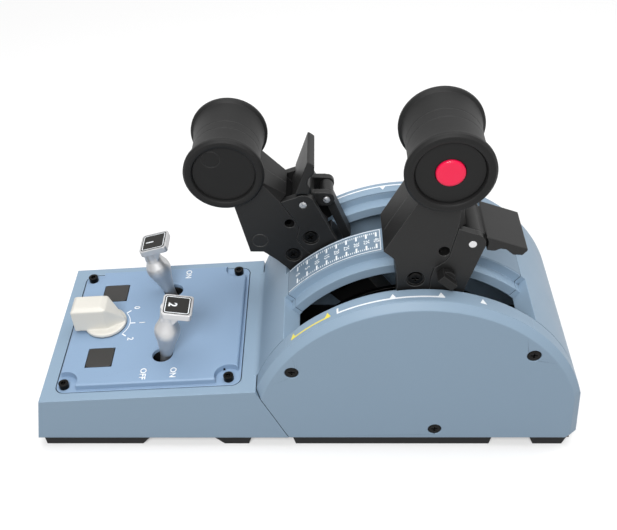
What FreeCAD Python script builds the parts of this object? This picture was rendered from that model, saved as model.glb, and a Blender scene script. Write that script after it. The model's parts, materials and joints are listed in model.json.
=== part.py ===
"""Desktop throttle quadrant: two thrust levers over a scaled drum, with an engine panel behind.

Frame: X forward, Y to the pilot's left, Z up.  The origin lies under the middle of the
overall box, on the surface that the quadrant stands on.  Three working frames are used:
  drum frame   origin on the lever axle at mid width
  lever frame  origin on the axle at the lever's mid plane, Z along the upright lever
  deck frame   origin at the middle of the engine panel, Z square to the sloping deck
The right lever is modelled, and the left one is its mirror image.
"""
import FreeCAD, Part

import math
import os
import re

import Sketcher
from FreeCAD import Placement, Rotation, Vector

# Driving dimensions in millimetres and degrees.
SIZES = [
    # casing
    ("overall_length", 236.5), ("overall_width", 88.6), ("nose_reach", 71.0),
    ("pivot_height", 11.4), ("floor_height", 5.9), ("cover_wall", 2.4), ("seam_gap", 0.2),
    ("drum_radius", 72.0), ("rim_drop", 3.1), ("rim_width", 2.7), ("band_width", 9.7),
    ("seam_turn", 0.15), ("screw_boss", 3.3), ("screw_bore", 1.6), ("screw_sink", 2.95),
    ("sink_depth", 1.6), ("screw_boss_length", 7.0), ("foot_boss", 3.6), ("thread_radius", 1.5),
    ("usb_half", 4.6), ("usb_low", 0.6), ("usb_high", 4.0), ("nose_angle", 74.0),
    ("nose_cut", 2.0), ("joint_foot", 55.0), ("joint_angle", 25.6), ("deck_height", 28.4),
    ("deck_angle", 3.8), ("tail_lean", 4.0), ("cove_radius", 4.0),
    # slots and centre arch
    ("slot_aft", 51.8), ("slot_fore", 40.4), ("seam_aft", 50.2), ("seam_fore", 38.5),
    ("ring_half", 7.9), ("step_drop", 4.0), ("step_width", 5.3), ("slot_depth", 8.4),
    ("stop_wall", 3.5), ("print_thick", 0.8), ("print_edge", 0.6), ("arch_rib_half", 3.0),
    ("arch_rib_depth", 5.0),
    # base and feet
    ("base_thick", 2.0), ("flange_thick", 0.7), ("flange_inset", 1.0), ("foot_inset", 1.4),
    ("pad_radius", 4.5), ("pad_thick", 1.2), ("pad_proud", 0.4),
    ("well_floor", 2.4), ("well_half", 9.6), ("base_sink", 3.3), ("base_sink_z", -7.5),
    ("head_thick", 1.8), ("head_thin", 1.4), ("side_head", 2.7), ("screw_radius", 1.45),
    ("drive_long", 1.4), ("drive_short", 0.35), ("pad_gap", 0.1), ("board_z", 0.0),
    # axle and blocks
    ("axle_radius", 3.0), ("running_gap", 0.05), ("bush_radius", 4.5), ("block_height", 9.0),
    ("block_half", 12.5), ("block_top", 6.0), ("block_thick", 8.8), ("block_gap", 1.3),
    ("centre_block_half", 9.4), ("post_half", 5.5), ("detent_radius", 50.0),
    ("detent_thick", 2.0), ("detent_half", 4.0), ("detent_hole", 1.2), ("detent_aft", 43.0),
    ("detent_fore", 29.0),
    # levers
    ("arm_gap", 1.05), ("web_half", 4.0), ("stem_step", 4.9), ("hub_radius", 8.0),
    ("stem_top", 69.3), ("right_rest", 2.36), ("left_rest", -38.8), ("grip_height", 129.0),
    ("grip_half", 18.2), ("grip_radius", 16.8), ("waist_radius", 14.6), ("grip_bore", 11.2),
    ("cap_radius", 12.8), ("cap_sink", 1.8), ("cap_thick", 3.0), ("button_radius", 5.45),
    ("button_proud", 0.8), ("button_gap", 0.15), ("cheek_thick", 3.0), ("nose_front", 10.0),
    ("nose_bevel", 3.3), ("web_front", 7.8), ("latch_pin_x", 13.4), ("latch_pin_z", 94.0),
    ("latch_root", 4.9), ("latch_clear", 5.9), ("latch_angle", 50.0), ("rod_ratio", 1.334),
    ("pin_radius", 1.6), ("link_drop", 10.1), ("lug_radius", 3.4), ("lug_thick", 3.0),
    ("lug_gap", 1.8), ("rod_gap", 0.6), ("rod_length", 25.0), ("rod_width", 3.6),
    ("part_gap", 0.3), ("plunger_radius", 2.0), ("knob_radius", 3.4), ("magnet_thick", 1.5),
    ("board_thick", 1.2), ("head_recess", 1.4), ("knob_disc", 2.2), ("knob_reach", 5.4),
    ("wing_long", 3.7), ("wing_half", 1.7), ("wing_turn", 40.0), ("link_radius", 1.5),
    ("button_round", 0.6),
    # engine panel
    ("panel_margin", 5.0), ("panel_end", 6.5), ("panel_shift", 0.45), ("panel_corner", 4.0),
    ("recess_corner", 4.4), ("panel_gap", 0.4), ("panel_flange", 1.6), ("panel_rise", 3.0),
    ("panel_step", 1.2), ("pocket_radius", 6.0), ("panel_screw_in", 3.6), ("switch_place", 0.276),
    ("key_place", 0.284), ("toggle_place", 0.062), ("knob_place", 0.295), ("key_half", 5.75),
    ("key_gap", 0.25), ("key_proud", 0.15), ("toggle_pivot", 5.3), ("toggle_lean", 11.5),
    ("toggle_back", 12.3), ("toggle_hole", 4.5), ("toggle_height", 38.0), ("plate_half", 6.4),
    ("plate_thick", 2.8), ("plate_offset", 3.8), ("plate_corner", 1.5), ("dial_radius", 9.5),
    ("dial_top", 5.0), ("bar_top", 16.9), ("bar_half", 5.5), ("bar_tail", 13.1),
    ("bar_front", 1.7), ("bar_point", 9.2), ("bar_bevel", 1.5), ("knob_shaft", 3.0),
    ("key_corner", 1.3), ("key_travel", 0.9), ("panel_bevel", 0.6),
]

# Sizes that follow from the driving ones.
DERIVED = [
    ("half_width", "overall_width / 2"),
    ("pivot_x", "overall_length / 2 - nose_reach"),
    ("floor_z", "floor_height - pivot_height"),
    ("band_in", "half_width - band_width"),
    ("body_in", "band_in - seam_gap"),
    ("tail_foot", "nose_reach - overall_length"),
    ("tail_top", "tail_foot + tail_lean"),
    ("deck_z", "deck_height - pivot_height"),
    ("step_radius", "drum_radius - step_drop"),
    ("slot_floor", "drum_radius - slot_depth"),
    ("seam_b", "joint_foot * sin(joint_angle) + floor_z * cos(joint_angle)"),
    ("seam_c", "joint_foot ^ 2 + floor_z ^ 2"),
    ("joint_run", "sqrt(seam_b ^ 2 - seam_c + drum_radius ^ 2) - seam_b"),
    ("joint_x", "-joint_foot - joint_run * sin(joint_angle)"),
    ("joint_z", "floor_z + joint_run * cos(joint_angle)"),
    ("deck_joint", "deck_z + (joint_x - tail_top) * tan(deck_angle)"),
    ("panel_world_x", "pivot_x - panel_x"),
    ("panel_world_z", "deck_height + (-panel_x - tail_top) * tan(deck_angle)"),
    ("base_top", "floor_z + base_thick"),
    ("cap_face", "grip_half - cap_sink"),
    ("arm_half", "(band_in - ring_half) / 2 - arm_gap"),
    ("lever_offset", "(band_in + ring_half) / 2"),
    ("stem_half", "arm_half - stem_step"),
    ("outer_block_out", "half_width - cover_wall - block_gap"),
    ("outer_block_in", "outer_block_out - block_thick"),
    ("axle_half", "outer_block_out - part_gap"),
    ("well_in", "centre_block_half + 0.1"),
    ("well_out", "outer_block_in - 0.8"),
    ("cheek_in", "arm_half - cheek_thick"),
    ("lug_out", "cheek_in - lug_gap"),
    ("lug_in", "lug_out - lug_thick"),
    ("rod_half", "lug_in - rod_gap"),
    ("panel_x", "-(tail_top + joint_x) / 2 + panel_shift"),
    ("panel_length", "(joint_x - tail_top) / cos(deck_angle) - 2 * panel_end"),
    ("panel_width", "overall_width - 2 * panel_margin"),
    ("panel_screw_y", "panel_width / 2 - panel_screw_in"),
    ("switch_y", "panel_width * switch_place"),
    ("key_x", "panel_length * key_place"),
    ("toggle_x", "panel_length * toggle_place"),
    ("knob_x", "panel_length * knob_place"),
    ("deck_normal", "(deck_z - tail_top * tan(deck_angle)) * cos(deck_angle)"),
    ("cove_up", "deck_normal + cove_radius"),
    ("cove_back", "sqrt((drum_radius + cove_radius) ^ 2 - cove_up ^ 2)"),
    ("foot_z", "pad_proud - pivot_height"),
    ("base_edge", "floor_z - flange_thick"),
    ("pin_right_x", "pivot_x + latch_pin_x * cos(right_rest) + latch_pin_z * sin(right_rest)"),
    ("pin_right_z", "pivot_height - latch_pin_x * sin(right_rest) + latch_pin_z * cos(right_rest)"),
    ("pin_left_x", "pivot_x + latch_pin_x * cos(left_rest) + latch_pin_z * sin(left_rest)"),
    ("pin_left_z", "pivot_height - latch_pin_x * sin(left_rest) + latch_pin_z * cos(left_rest)"),
    ("raised_turn", "left_rest - latch_angle"),
    ("link_right_x", "pin_right_x - link_drop * sin(right_rest)"),
    ("link_right_z", "pin_right_z - link_drop * cos(right_rest)"),
    ("link_left_x", "pin_left_x - link_drop * sin(raised_turn)"),
    ("link_left_z", "pin_left_z - link_drop * cos(raised_turn)"),
    ("left_turn", "left_rest - right_rest"),
]

DRUM, LEVER, DECK = "drum", "lever", "deck"

doc = FreeCAD.newDocument("throttle_quadrant")
sheet = doc.addObject("Spreadsheet::Sheet", "dims")
NODES = {}


def fill_sheet():
    """Writes every driving and derived size to the spreadsheet, one alias a row."""
    rows = [(name, str(value)) for name, value in SIZES]
    rows += [(name, "=" + formula) for name, formula in DERIVED]
    for row, (name, content) in enumerate(rows, start=1):
        sheet.set(f"A{row}", name)
        sheet.set(f"B{row}", content)
        sheet.setAlias(f"B{row}", name)
    doc.recompute()


ALIASES = {name for name, _ in SIZES + DERIVED}


def formula(text):
    """Turns size names in an expression into references to the spreadsheet."""
    def refer(match):
        word = match.group(0)
        return "dims." + word if word in ALIASES else word
    return re.sub(r"[a-z][a-z0-9_]*", refer, str(text))


def bind(obj, **sizes):
    """Binds properties to expressions; a double underscore stands for a dot."""
    for prop, text in sizes.items():
        obj.setExpression(prop.replace("__", "."), formula(text))
    return obj


def minus(text):
    return f"-({text})"


def span(pair):
    return f"({pair[1]}) - ({pair[0]})"


def both(text):
    """A range that is symmetric about zero."""
    return (minus(text), text)


# ---- primitives and booleans ----

def box(name, x, y, z):
    obj = doc.addObject("Part::Box", name)
    bind(obj, Length=span(x), Width=span(y), Height=span(z))
    return bind(obj, Placement__Base__x=x[0], Placement__Base__y=y[0], Placement__Base__z=z[0])


def rod_y(name, radius, y, x="0", z="0"):
    """Cylinder along Y."""
    obj = doc.addObject("Part::Cylinder", name)
    obj.Placement = Placement(Vector(), Rotation(Vector(1, 0, 0), -90))
    bind(obj, Radius=radius, Height=span(y))
    return bind(obj, Placement__Base__x=x, Placement__Base__y=y[0], Placement__Base__z=z)


def rod_z(name, radius, z, x="0", y="0"):
    """Cylinder along Z."""
    obj = doc.addObject("Part::Cylinder", name)
    bind(obj, Radius=radius, Height=span(z))
    return bind(obj, Placement__Base__x=x, Placement__Base__y=y, Placement__Base__z=z[0])


def sketch(name, points, upright=True):
    """Closed outline of straight edges, each corner bound to its own pair of expressions."""
    obj = doc.addObject("Sketcher::SketchObject", name)
    if upright:
        obj.Placement = Placement(Vector(), Rotation(Vector(1, 0, 0), 90))
    count = len(points)
    turn = 2 * math.pi / count
    start = [Vector(10 * math.cos(turn * i), 10 * math.sin(turn * i), 0) for i in range(count)]
    obj.addGeometry([Part.LineSegment(start[i], start[(i + 1) % count]) for i in range(count)], False)
    rules = [Sketcher.Constraint("Coincident", i, 2, (i + 1) % count, 1) for i in range(count)]
    for i, corner in enumerate(start):
        rules.append(Sketcher.Constraint("DistanceX", -1, 1, i, 1, corner.x))
        rules.append(Sketcher.Constraint("DistanceY", -1, 1, i, 1, corner.y))
    obj.addConstraint(rules)
    for i, (across, up) in enumerate(points):
        obj.setExpression(f"Constraints[{count + 2 * i}]", formula(across))
        obj.setExpression(f"Constraints[{count + 2 * i + 1}]", formula(up))
    return obj


def extrude(name, base, y):
    """Extrudes an upright sketch along Y over the given range."""
    obj = doc.addObject("Part::Extrusion", name)
    obj.Base = base
    obj.DirMode = "Custom"
    obj.Dir = Vector(0, 1, 0)
    obj.Solid = True
    return bind(obj, LengthFwd=span(y), Placement__Base__y=y[0])


def prism(name, points, y):
    return extrude(name, sketch(name + "_outline", points), y)


def tower(name, points, z):
    """Extrudes a flat outline along Z over the given range."""
    obj = doc.addObject("Part::Extrusion", name)
    obj.Base = sketch(name + "_outline", points, upright=False)
    obj.DirMode = "Custom"
    obj.Dir = Vector(0, 0, 1)
    obj.Solid = True
    return bind(obj, LengthFwd=span(z), Placement__Base__z=z[0])


def fuse(name, *parts):
    obj = doc.addObject("Part::MultiFuse", name)
    obj.Shapes = list(parts)
    return obj


def common(name, *parts):
    obj = doc.addObject("Part::MultiCommon", name)
    obj.Shapes = list(parts)
    return obj


def group(name, *parts):
    obj = doc.addObject("Part::Compound", name)
    obj.Links = list(parts)
    return obj


def cut(name, base, *tools):
    obj = doc.addObject("Part::Cut", name)
    obj.Base = base
    obj.Tool = tools[0] if len(tools) == 1 else fuse(name + "_tools", *tools)
    return obj


def wedge(name, low, high, y):
    """Fan between two angles, measured forward from upright, that reaches past the drum."""
    reach = "drum_radius * 2"
    middle = f"({low} + {high}) / 2"
    fan = [("0", "0")]
    for angle in (low, middle, high):
        fan.append((f"{reach} * sin({angle})", f"{reach} * cos({angle})"))
    return prism(name, fan, y)


def arch(name, inner, outer, low, high, y):
    """Ring sector about the axle, between two radii and two angles."""
    ring = cut(name + "_ring", rod_y(name + "_outer", outer, y), rod_y(name + "_inner", inner, y))
    return common(name, ring, wedge(name + "_fan", low, high, y))


def dressed(name, kind, base, size, wanted):
    """Fillet or chamfer on the edges of base that the test picks."""
    doc.recompute()
    value = getattr(sheet, size)
    picked = [i for i, edge in enumerate(base.Shape.Edges, start=1) if wanted(edge)]
    obj = doc.addObject("Part::" + kind, name)
    obj.Base = base
    obj.Edges = [(i, value, value) for i in picked]
    return obj


def node(name, obj, frame=DRUM, **place):
    """Registers a finished sub-part and puts it in its frame."""
    if obj.TypeId in ("Part::Box", "Part::Cylinder"):
        obj = group(name + "_solid", obj)
    obj.Label = name
    NODES[name] = obj
    if frame == DRUM:
        bind(obj, Placement__Base__x="pivot_x", Placement__Base__z="pivot_height")
    if frame == LEVER:
        bind(obj, Placement__Base__x="pivot_x", Placement__Base__y=minus("lever_offset"))
        bind(obj, Placement__Base__z="pivot_height")
        turned(obj, "right_rest")
    if frame == DECK:
        bind(obj, Placement__Base__x="panel_world_x", Placement__Base__z="panel_world_z")
        turned(obj, minus("deck_angle"))
    return bind(obj, **place)


def turned(obj, angle):
    """Gives the placement a bound turn about Y."""
    obj.Placement = Placement(obj.Placement.Base, Rotation(Vector(0, 1, 0), 1))
    return bind(obj, Placement__Rotation__Angle=angle)


def node_pair(right_name, left_name, obj, frame=DRUM):
    """A sub-part on the right side and its mirror image on the left."""
    mirrored(left_name, node(right_name, obj, frame))


def two_sided(name, obj, frame=DRUM):
    """One sub-part that holds a piece and its mirror image as separate solids."""
    node(name, group(name + "_pair", obj, mirror(name, obj)), frame)


def mirror(name, source):
    obj = doc.addObject("Part::Mirroring", name + "_mirror")
    obj.Source = source
    obj.Normal = Vector(0, 1, 0)
    return obj


def mirrored(name, source):
    obj = mirror(name, source)
    obj.Label = name
    NODES[name] = obj
    return obj


def lever_pair(part, obj, turn="left_turn", before=("pivot_x", "pivot_height"), after=None):
    """A right lever piece and its mirror image, swung to the left lever's place."""
    right = node("right_" + part, obj, LEVER)
    left = turned(mirrored("left_" + part, right), turn)
    x, z = before
    to_x, to_z = after or before
    bind(left, Placement__Base__x=f"{to_x} - {x} * cos({turn}) - {z} * sin({turn})")
    bind(left, Placement__Base__z=f"{to_z} + {x} * sin({turn}) - {z} * cos({turn})")


# ---- casing ----

def cover_outline(name, inset, y):
    """D-shaped outline of the drum and nose: one arc, closed by the seam, the floor and the nose."""
    radius = f"(drum_radius - ({inset}))"
    run = f"(sqrt(seam_b ^ 2 - seam_c + {radius} ^ 2) - seam_b)"
    obj = doc.addObject("Sketcher::SketchObject", name)
    obj.Placement = Placement(Vector(), Rotation(Vector(1, 0, 0), 90))
    drum, reach = sheet.drum_radius, sheet.nose_reach
    corner = [Vector(-sheet.joint_foot, sheet.floor_z, 0), Vector(sheet.joint_x, sheet.joint_z, 0)]
    bend = math.radians(90 - sheet.nose_angle)
    corner.append(Vector(drum * math.cos(bend), drum * math.sin(bend), 0))
    corner.append(Vector(reach, sheet.floor_z + sheet.nose_cut, 0))
    corner.append(Vector(reach - sheet.nose_cut, sheet.floor_z, 0))
    sweep_end = math.atan2(corner[1].y, corner[1].x)
    circle = Part.Circle(Vector(), Vector(0, 0, 1), drum)
    obj.addGeometry(Part.LineSegment(corner[0], corner[1]), False)
    obj.addGeometry(Part.ArcOfCircle(circle, bend, sweep_end), False)
    obj.addGeometry(Part.LineSegment(corner[2], corner[3]), False)
    obj.addGeometry(Part.LineSegment(corner[3], corner[4]), False)
    obj.addGeometry(Part.LineSegment(corner[4], corner[0]), False)
    joins = [(0, 2, 1, 2), (1, 1, 2, 1), (2, 2, 3, 1), (3, 2, 4, 1), (4, 2, 0, 1), (1, 3, -1, 1)]
    for first, first_end, second, second_end in joins:
        obj.addConstraint(Sketcher.Constraint("Coincident", first, first_end, second, second_end))
    rules = [
        ("Radius", (1,), drum, radius),
        ("DistanceX", (-1, 1, 0, 1), corner[0].x, minus("joint_foot")),
        ("DistanceY", (-1, 1, 0, 1), corner[0].y, "floor_z"),
        ("DistanceY", (-1, 1, 1, 2), corner[1].y, f"floor_z + {run} * cos(joint_angle)"),
        ("DistanceY", (-1, 1, 1, 1), corner[2].y, f"{radius} * cos(nose_angle)"),
        ("DistanceX", (-1, 1, 2, 2), corner[3].x, f"nose_reach - ({inset})"),
        ("DistanceY", (-1, 1, 2, 2), corner[3].y, "floor_z + nose_cut"),
        ("DistanceX", (-1, 1, 3, 2), corner[4].x, f"nose_reach - nose_cut - ({inset})"),
        ("DistanceY", (-1, 1, 3, 2), corner[4].y, "floor_z"),
    ]
    for kind, ends, value, text in rules:
        row = obj.addConstraint(Sketcher.Constraint(kind, *ends, value))
        obj.setExpression(f"Constraints[{row}]", formula(text))
    return bind(obj, Placement__Base__y=y)


def hollow_under(name, inset, y):
    """Inside of the drum and nose, cut down through the floor line."""
    inside = extrude(name + "_dome", cover_outline(name + "_outline", inset, "0"), y)
    foot = ("floor_z - cover_wall", "floor_z + cover_wall")
    opening = box(name + "_foot", (minus("joint_foot"), f"nose_reach - nose_cut - ({inset})"), y, foot)
    return fuse(name, inside, opening)


SIDE_SCREWS = [("-53.2", "34.6"), ("45.7", "44.3"), ("8.5", "0")]
TAIL_SCREWS = [(x, y) for x in ("tail_foot + 9.5", "joint_x - 11.6") for y in ("half_width - 5.8",
                                                                               "5.8 - half_width")]
NOSE_SCREWS = [("60", "16"), ("60", "-16")]
PANEL_SCREWS = [(x, y) for x in ("panel_screw_in - panel_length / 2",
                                 "panel_length / 2 - panel_screw_in - 1.5")
                for y in ("panel_screw_y", "-panel_screw_y")]


def side_panels():
    """D-shaped end covers with a bevelled rim, the slot's outer wall and its ledge."""
    outer_face = minus("half_width")
    rim = doc.addObject("Part::Loft", "cover_rim")
    rim.Sections = [cover_outline("cover_face", "rim_drop", outer_face),
                    cover_outline("cover_edge", "0", minus("half_width - rim_width"))]
    rim.Solid = True
    rim.Ruled = True
    edge_line = cover_outline("cover_body_outline", "0", "0")
    body = extrude("cover_body", edge_line, (minus("half_width - rim_width"), minus("band_in")))
    shell = cut("cover_shell", fuse("cover_blank", rim, body),
                hollow_under("cover_hollow", "cover_wall", (minus("half_width - cover_wall"), "0")))
    wall_y = (minus("band_in + cover_wall"), minus("band_in"))
    wall = arch("cover_slot_wall", "slot_floor", "drum_radius - cover_wall / 2",
                minus("slot_aft"), "slot_fore", wall_y)
    ledge_y = (minus("band_in"), minus("band_in - step_width"))
    ledge = arch("cover_ledge", "slot_floor", "step_radius", minus("slot_aft"), "slot_fore", ledge_y)
    bosses, holes = [], []
    for i, (x, z) in enumerate(SIDE_SCREWS):
        boss_in = "outer_block_out + seam_gap" if z == "0" else "band_in"
        bosses.append(rod_y(f"cover_boss_{i}", "screw_boss",
                            (minus("half_width - rim_width / 2"), minus(boss_in)), x, z))
        holes.append(rod_y(f"cover_bore_{i}", "screw_bore", (minus("half_width + 1"), "0"), x, z))
        holes.append(rod_y(f"cover_sink_{i}", "screw_sink",
                           (minus("half_width + 1"), minus("half_width - sink_depth")), x, z))
    seat = arch("cover_print_seat", "drum_radius - print_thick", "drum_radius + 1", minus("seam_aft"),
                "seam_fore", (minus("half_width - rim_width"), "0"))
    right = cut("right_cover", fuse("cover_whole", shell, wall, ledge, *bosses), seat, *holes)
    node_pair("side_panel_right", "side_panel_left", right)
    strip_y = (minus("half_width - rim_width"), minus("band_in"))
    strip = arch("right_strip", "drum_radius - print_thick", "drum_radius", minus("seam_aft"),
                 "seam_fore", strip_y)
    two_sided("mark_strips", strip)


def on_deck(name, *parts):
    """Pieces made in the deck frame, joined and seen from the drum frame."""
    obj = fuse(name, *parts)
    turned(obj, minus("deck_angle"))
    return bind(obj, Placement__Base__x=minus("panel_x"),
                Placement__Base__z="panel_world_z - pivot_height")


def ring_stub(name, low, high):
    """Short length of the centre arch's section."""
    crown = arch(name + "_crown", "slot_floor", "drum_radius", low, high, both("ring_half"))
    ledge = arch(name + "_ledge", "slot_floor", "step_radius", low, high,
                 both("ring_half + step_width"))
    return [crown, ledge]


def side_bosses(name, place):
    """Two bosses behind the side panels, one on each side."""
    low, high = "body_in - screw_boss_length", "body_in"
    return [rod_y(f"{name}_right_boss", "screw_boss", (minus(high), minus(low)), *place),
            rod_y(f"{name}_left_boss", "screw_boss", (low, high), *place)]


def rear_housing():
    """Tail box with the sloping deck, blended up into the back of the drum."""
    side = both("half_width")
    outline = [("tail_foot", "floor_z"), (minus("joint_foot + seam_gap"), "floor_z"),
               ("joint_x - seam_gap", "joint_z"), ("joint_x - seam_gap", "deck_joint"), ("tail_top",
                                                                                         "deck_z")]
    cavity = [("tail_foot + cover_wall", "floor_z - 1"), ("0", "floor_z - 1"),
              ("0", "deck_joint - cover_wall"), ("joint_x", "deck_joint - cover_wall"),
              ("tail_top + cover_wall", "deck_z - cover_wall")]
    shell = cut("tail_shell", prism("tail_box", outline, side),
                prism("tail_cavity", cavity, both("half_width - cover_wall")))
    lip = prism("deck_lip", [("joint_x - 1", "deck_joint - cover_wall"),
                             ("joint_x + cover_wall", "deck_joint - cover_wall"),
                             ("joint_x + cover_wall", "deck_joint + cover_wall * tan(deck_angle)"),
                             ("joint_x - 1", "deck_joint - tan(deck_angle)")], both("body_in"))
    back = arch("drum_back", "drum_radius - cover_wall", "drum_radius", "-73", minus("slot_aft"),
                both("body_in"))
    stop = arch("aft_stop", "slot_floor", "drum_radius - cover_wall / 2",
                minus("slot_aft + stop_wall"), minus("slot_aft"), both("body_in"))
    blank = fuse("tail_blank", shell, lip, back, stop, cove(), *side_bosses("tail", SIDE_SCREWS[0]),
                 *ring_stub("aft_stub", minus("slot_aft"), minus("seam_aft")),
                 *foot_bosses("tail", TAIL_SCREWS), panel_ledge())
    recess = rounded_box("panel_recess", both("panel_length / 2 + panel_gap"),
                         both("panel_width / 2 + panel_gap"), (minus("panel_flange"),
                                                               "5"), "recess_corner")
    opening = cut("deck_opening", box("deck_window", both("panel_length / 2 - 3"),
                                      both("panel_width / 2 - 3"),
                                      ("-5", "5")), *panel_seats("window"))
    threads = [rod_z(f"panel_thread_{i}", "thread_radius", ("-9", "0"), x, y)
               for i, (x, y) in enumerate(PANEL_SCREWS)]
    port = box("usb_port", ("tail_foot - 1", "tail_foot + 8"), both("usb_half"),
               ("usb_low", "usb_high"))
    side_thread = rod_y("tail_side_thread", "thread_radius", side, *SIDE_SCREWS[0])
    node("rear_housing", cut("tail_cut", blank, on_deck("panel_openings", recess, opening, *threads),
                             port,
                             side_thread, *foot_threads("tail", TAIL_SCREWS)))


def cove():
    """Concave blend between the deck and the back of the drum."""
    inner = "(drum_radius - 1) / (drum_radius + cove_radius)"
    web = prism("cove_web", [(minus("cove_back"), "cove_up"), (minus("cove_back"), "deck_normal - 1"),
                             ("1 - sqrt(drum_radius ^ 2 - deck_normal ^ 2)", "deck_normal - 1"),
                             (f"-cove_back * {inner}", f"cove_up * {inner}")], both("body_in"))
    roll = rod_y("cove_roll", "cove_radius", both("half_width"), minus("cove_back"), "cove_up")
    return turned(cut("cove", web, roll), minus("deck_angle"))


def panel_ledge():
    """Ledge and screw seats that carry the engine panel."""
    depth = (minus("panel_flange + cover_wall"), minus("panel_flange"))
    outer = box("ledge_outer", both("panel_length / 2 + 1.5"), both("panel_width / 2 + 1.5"), depth)
    inner = box("ledge_inner", both("panel_length / 2 - 3"), both("panel_width / 2 - 3"), ("-9", "0"))
    return on_deck("panel_supports", cut("panel_ledge", outer, inner), *panel_seats("ledge"))


def panel_seats(name):
    return [rod_z(f"{name}_seat_{i}", "foot_boss", ("-10", "-panel_flange"), x, y)
            for i, (x, y) in enumerate(PANEL_SCREWS)]


def foot_bosses(name, places):
    return [rod_z(f"{name}_foot_boss_{i}", "foot_boss", ("base_top", "floor_z + 16"), x, y)
            for i, (x, y) in enumerate(places)]


def foot_threads(name, places):
    return [rod_z(f"{name}_foot_thread_{i}", "thread_radius", ("floor_z", "floor_z + 14"), x, y)
            for i, (x, y) in enumerate(places)]


def front_cover():
    """Nose of the drum between the two side panels."""
    block = extrude("nose_block", cover_outline("nose_block_outline", "0", "0"), both("body_in"))
    shell = cut("nose_shell", block, hollow_under("nose_hollow", "cover_wall", both("half_width")))
    nose = common("nose_sector", shell, wedge("nose_fan", "slot_fore", "100", both("half_width")))
    stop = arch("fore_stop", "slot_floor", "drum_radius - cover_wall / 2", "slot_fore",
                "slot_fore + stop_wall", both("body_in"))
    ribs = [box(f"nose_rib_{i}", (x, "nose_reach - nose_cut"), (f"{y} - 1", f"{y} + 1"),
                ("base_top", "floor_z + 16"))
            for i, (x, y) in enumerate(NOSE_SCREWS)]
    whole = fuse("nose_whole", nose, stop, *ribs, *ring_stub("fore_stub", "seam_fore", "slot_fore"),
                 *side_bosses("nose", SIDE_SCREWS[1]), *foot_bosses("nose", NOSE_SCREWS))
    side_thread = rod_y("nose_side_thread", "thread_radius", both("half_width"), *SIDE_SCREWS[1])
    node("front_cover", cut("nose_cut", whole, side_thread, *foot_threads("nose", NOSE_SCREWS)))


def centre_arch():
    """Arch between the two slots, stepped on both sides, with a rib that a post carries."""
    low, high = minus("seam_aft - seam_turn"), "seam_fore - seam_turn"
    rib = arch("arch_rib", "slot_floor - arch_rib_depth", "slot_floor + 1", low, high,
               both("arch_rib_half"))
    seat = arch("arch_print_seat", "drum_radius - print_thick", "drum_radius + 1", low, high,
                both("ring_half - print_edge"))
    whole = fuse("arch_blank", *ring_stub("arch", low, high), rib)
    node("centre_arch", cut("centre_arch_cut", whole, seat))
    node("scale_band", arch("scale_band_arch", "drum_radius - print_thick", "drum_radius", low, high,
                            both("ring_half - print_edge")))


# ---- base, axle and blocks ----

FEET = [("tail_foot + 2.1", "-panel_x - 0.6", "tail_foot + 2.7", "-panel_x - 4.6"),
        ("-88.8", "-71.4", "-83.7", "-72.9"),
        ("-53.5", "34.3", "-52.1", "33.4"), ("50.6", "67.2", "52.8", "65.6")]
PADS = [(x, y) for x in ("-panel_x - 24.6", "-20", "59") for y in ("half_width - 10.3",
                                                                   "10.3 - half_width")]


def base():
    """Floor plate with four shallow feet and a well under each lever hub."""
    flange = box("base_flange", ("tail_foot + flange_inset", "nose_reach - nose_cut - flange_inset"),
                 both("half_width - flange_inset"), ("base_edge", "floor_z"))
    inside = both("half_width - cover_wall - part_gap")
    plug = box("base_plug", ("tail_foot + cover_wall + 1",
                             "nose_reach - nose_cut - cover_wall - part_gap"),
               inside, ("floor_z", "base_top"))
    feet = [prism(f"foot_{i}", [(x0, "base_edge"), (x1, "base_edge"), (x3, "foot_z"), (x2, "foot_z")],
                  both("half_width - foot_inset")) for i, (x0, x1, x2, x3) in enumerate(FEET)]
    posts = [rod_z(f"board_post_{i}", "screw_boss", ("floor_z", "board_z"), x, y)
             for i, (x, y) in enumerate(BOARD_POSTS)]
    wells = [box(f"hub_well_{i}", both("well_half"), y, ("well_floor - pivot_height", "base_top + 1"))
             for i, y in enumerate([(minus("well_out"), minus("well_in")), ("well_in", "well_out")])]
    drills = []
    for i, (x, y) in enumerate(TAIL_SCREWS + NOSE_SCREWS):
        drills.append(rod_z(f"base_bore_{i}", "screw_bore", ("-20", "base_top + 1"), x, y))
        drills.append(rod_z(f"base_sink_{i}", "base_sink", ("-20", "base_sink_z"), x, y))
    drills += [rod_z(f"pad_seat_{i}", "pad_radius + pad_gap", ("-20", "pad_thick - pivot_height"), x, y)
               for i, (x, y) in enumerate(PADS)]
    node("base_plate", cut("base_cut", fuse("base_blank", flange, plug, *feet, *posts), *wells,
                           *drills))
    node("rubber_feet", group("pads", *[rod_z(f"pad_{i}", "pad_radius",
                                              (minus("pivot_height"), "pad_thick - pivot_height"), x, y)
                                        for i, (x, y) in enumerate(PADS)]))
    node("base_screws", group("foot_screws", *[
        screw_up(f"foot_screw_{i}", x, y) for i, (x, y) in enumerate(TAIL_SCREWS + NOSE_SCREWS)]))


def cross(name, x, y, depth, half=("drive_long", "drive_short")):
    """Two crossed slots along Z for a screw's drive."""
    long, short = half
    return [box(f"{name}_slot_{i}", (f"{x} - {a}", f"{x} + {a}"), (f"{y} - {b}", f"{y} + {b}"), depth)
            for i, (a, b) in enumerate([(long, short), (short, long)])]


def screw_up(name, x, y):
    """Screw that enters from below, with its head in the base plate's counterbore."""
    low = "base_sink_z - head_thick"
    head = rod_z(name + "_head", "base_sink - part_gap", (low, "base_sink_z"), x, y)
    shank = rod_z(name + "_shank", "screw_radius", ("base_sink_z", "floor_z + 13"), x, y)
    return cut(name, fuse(name + "_blank", head, shank),
               *cross(name, x, y, (f"{low} - 1", f"{low} + 1")))


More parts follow.
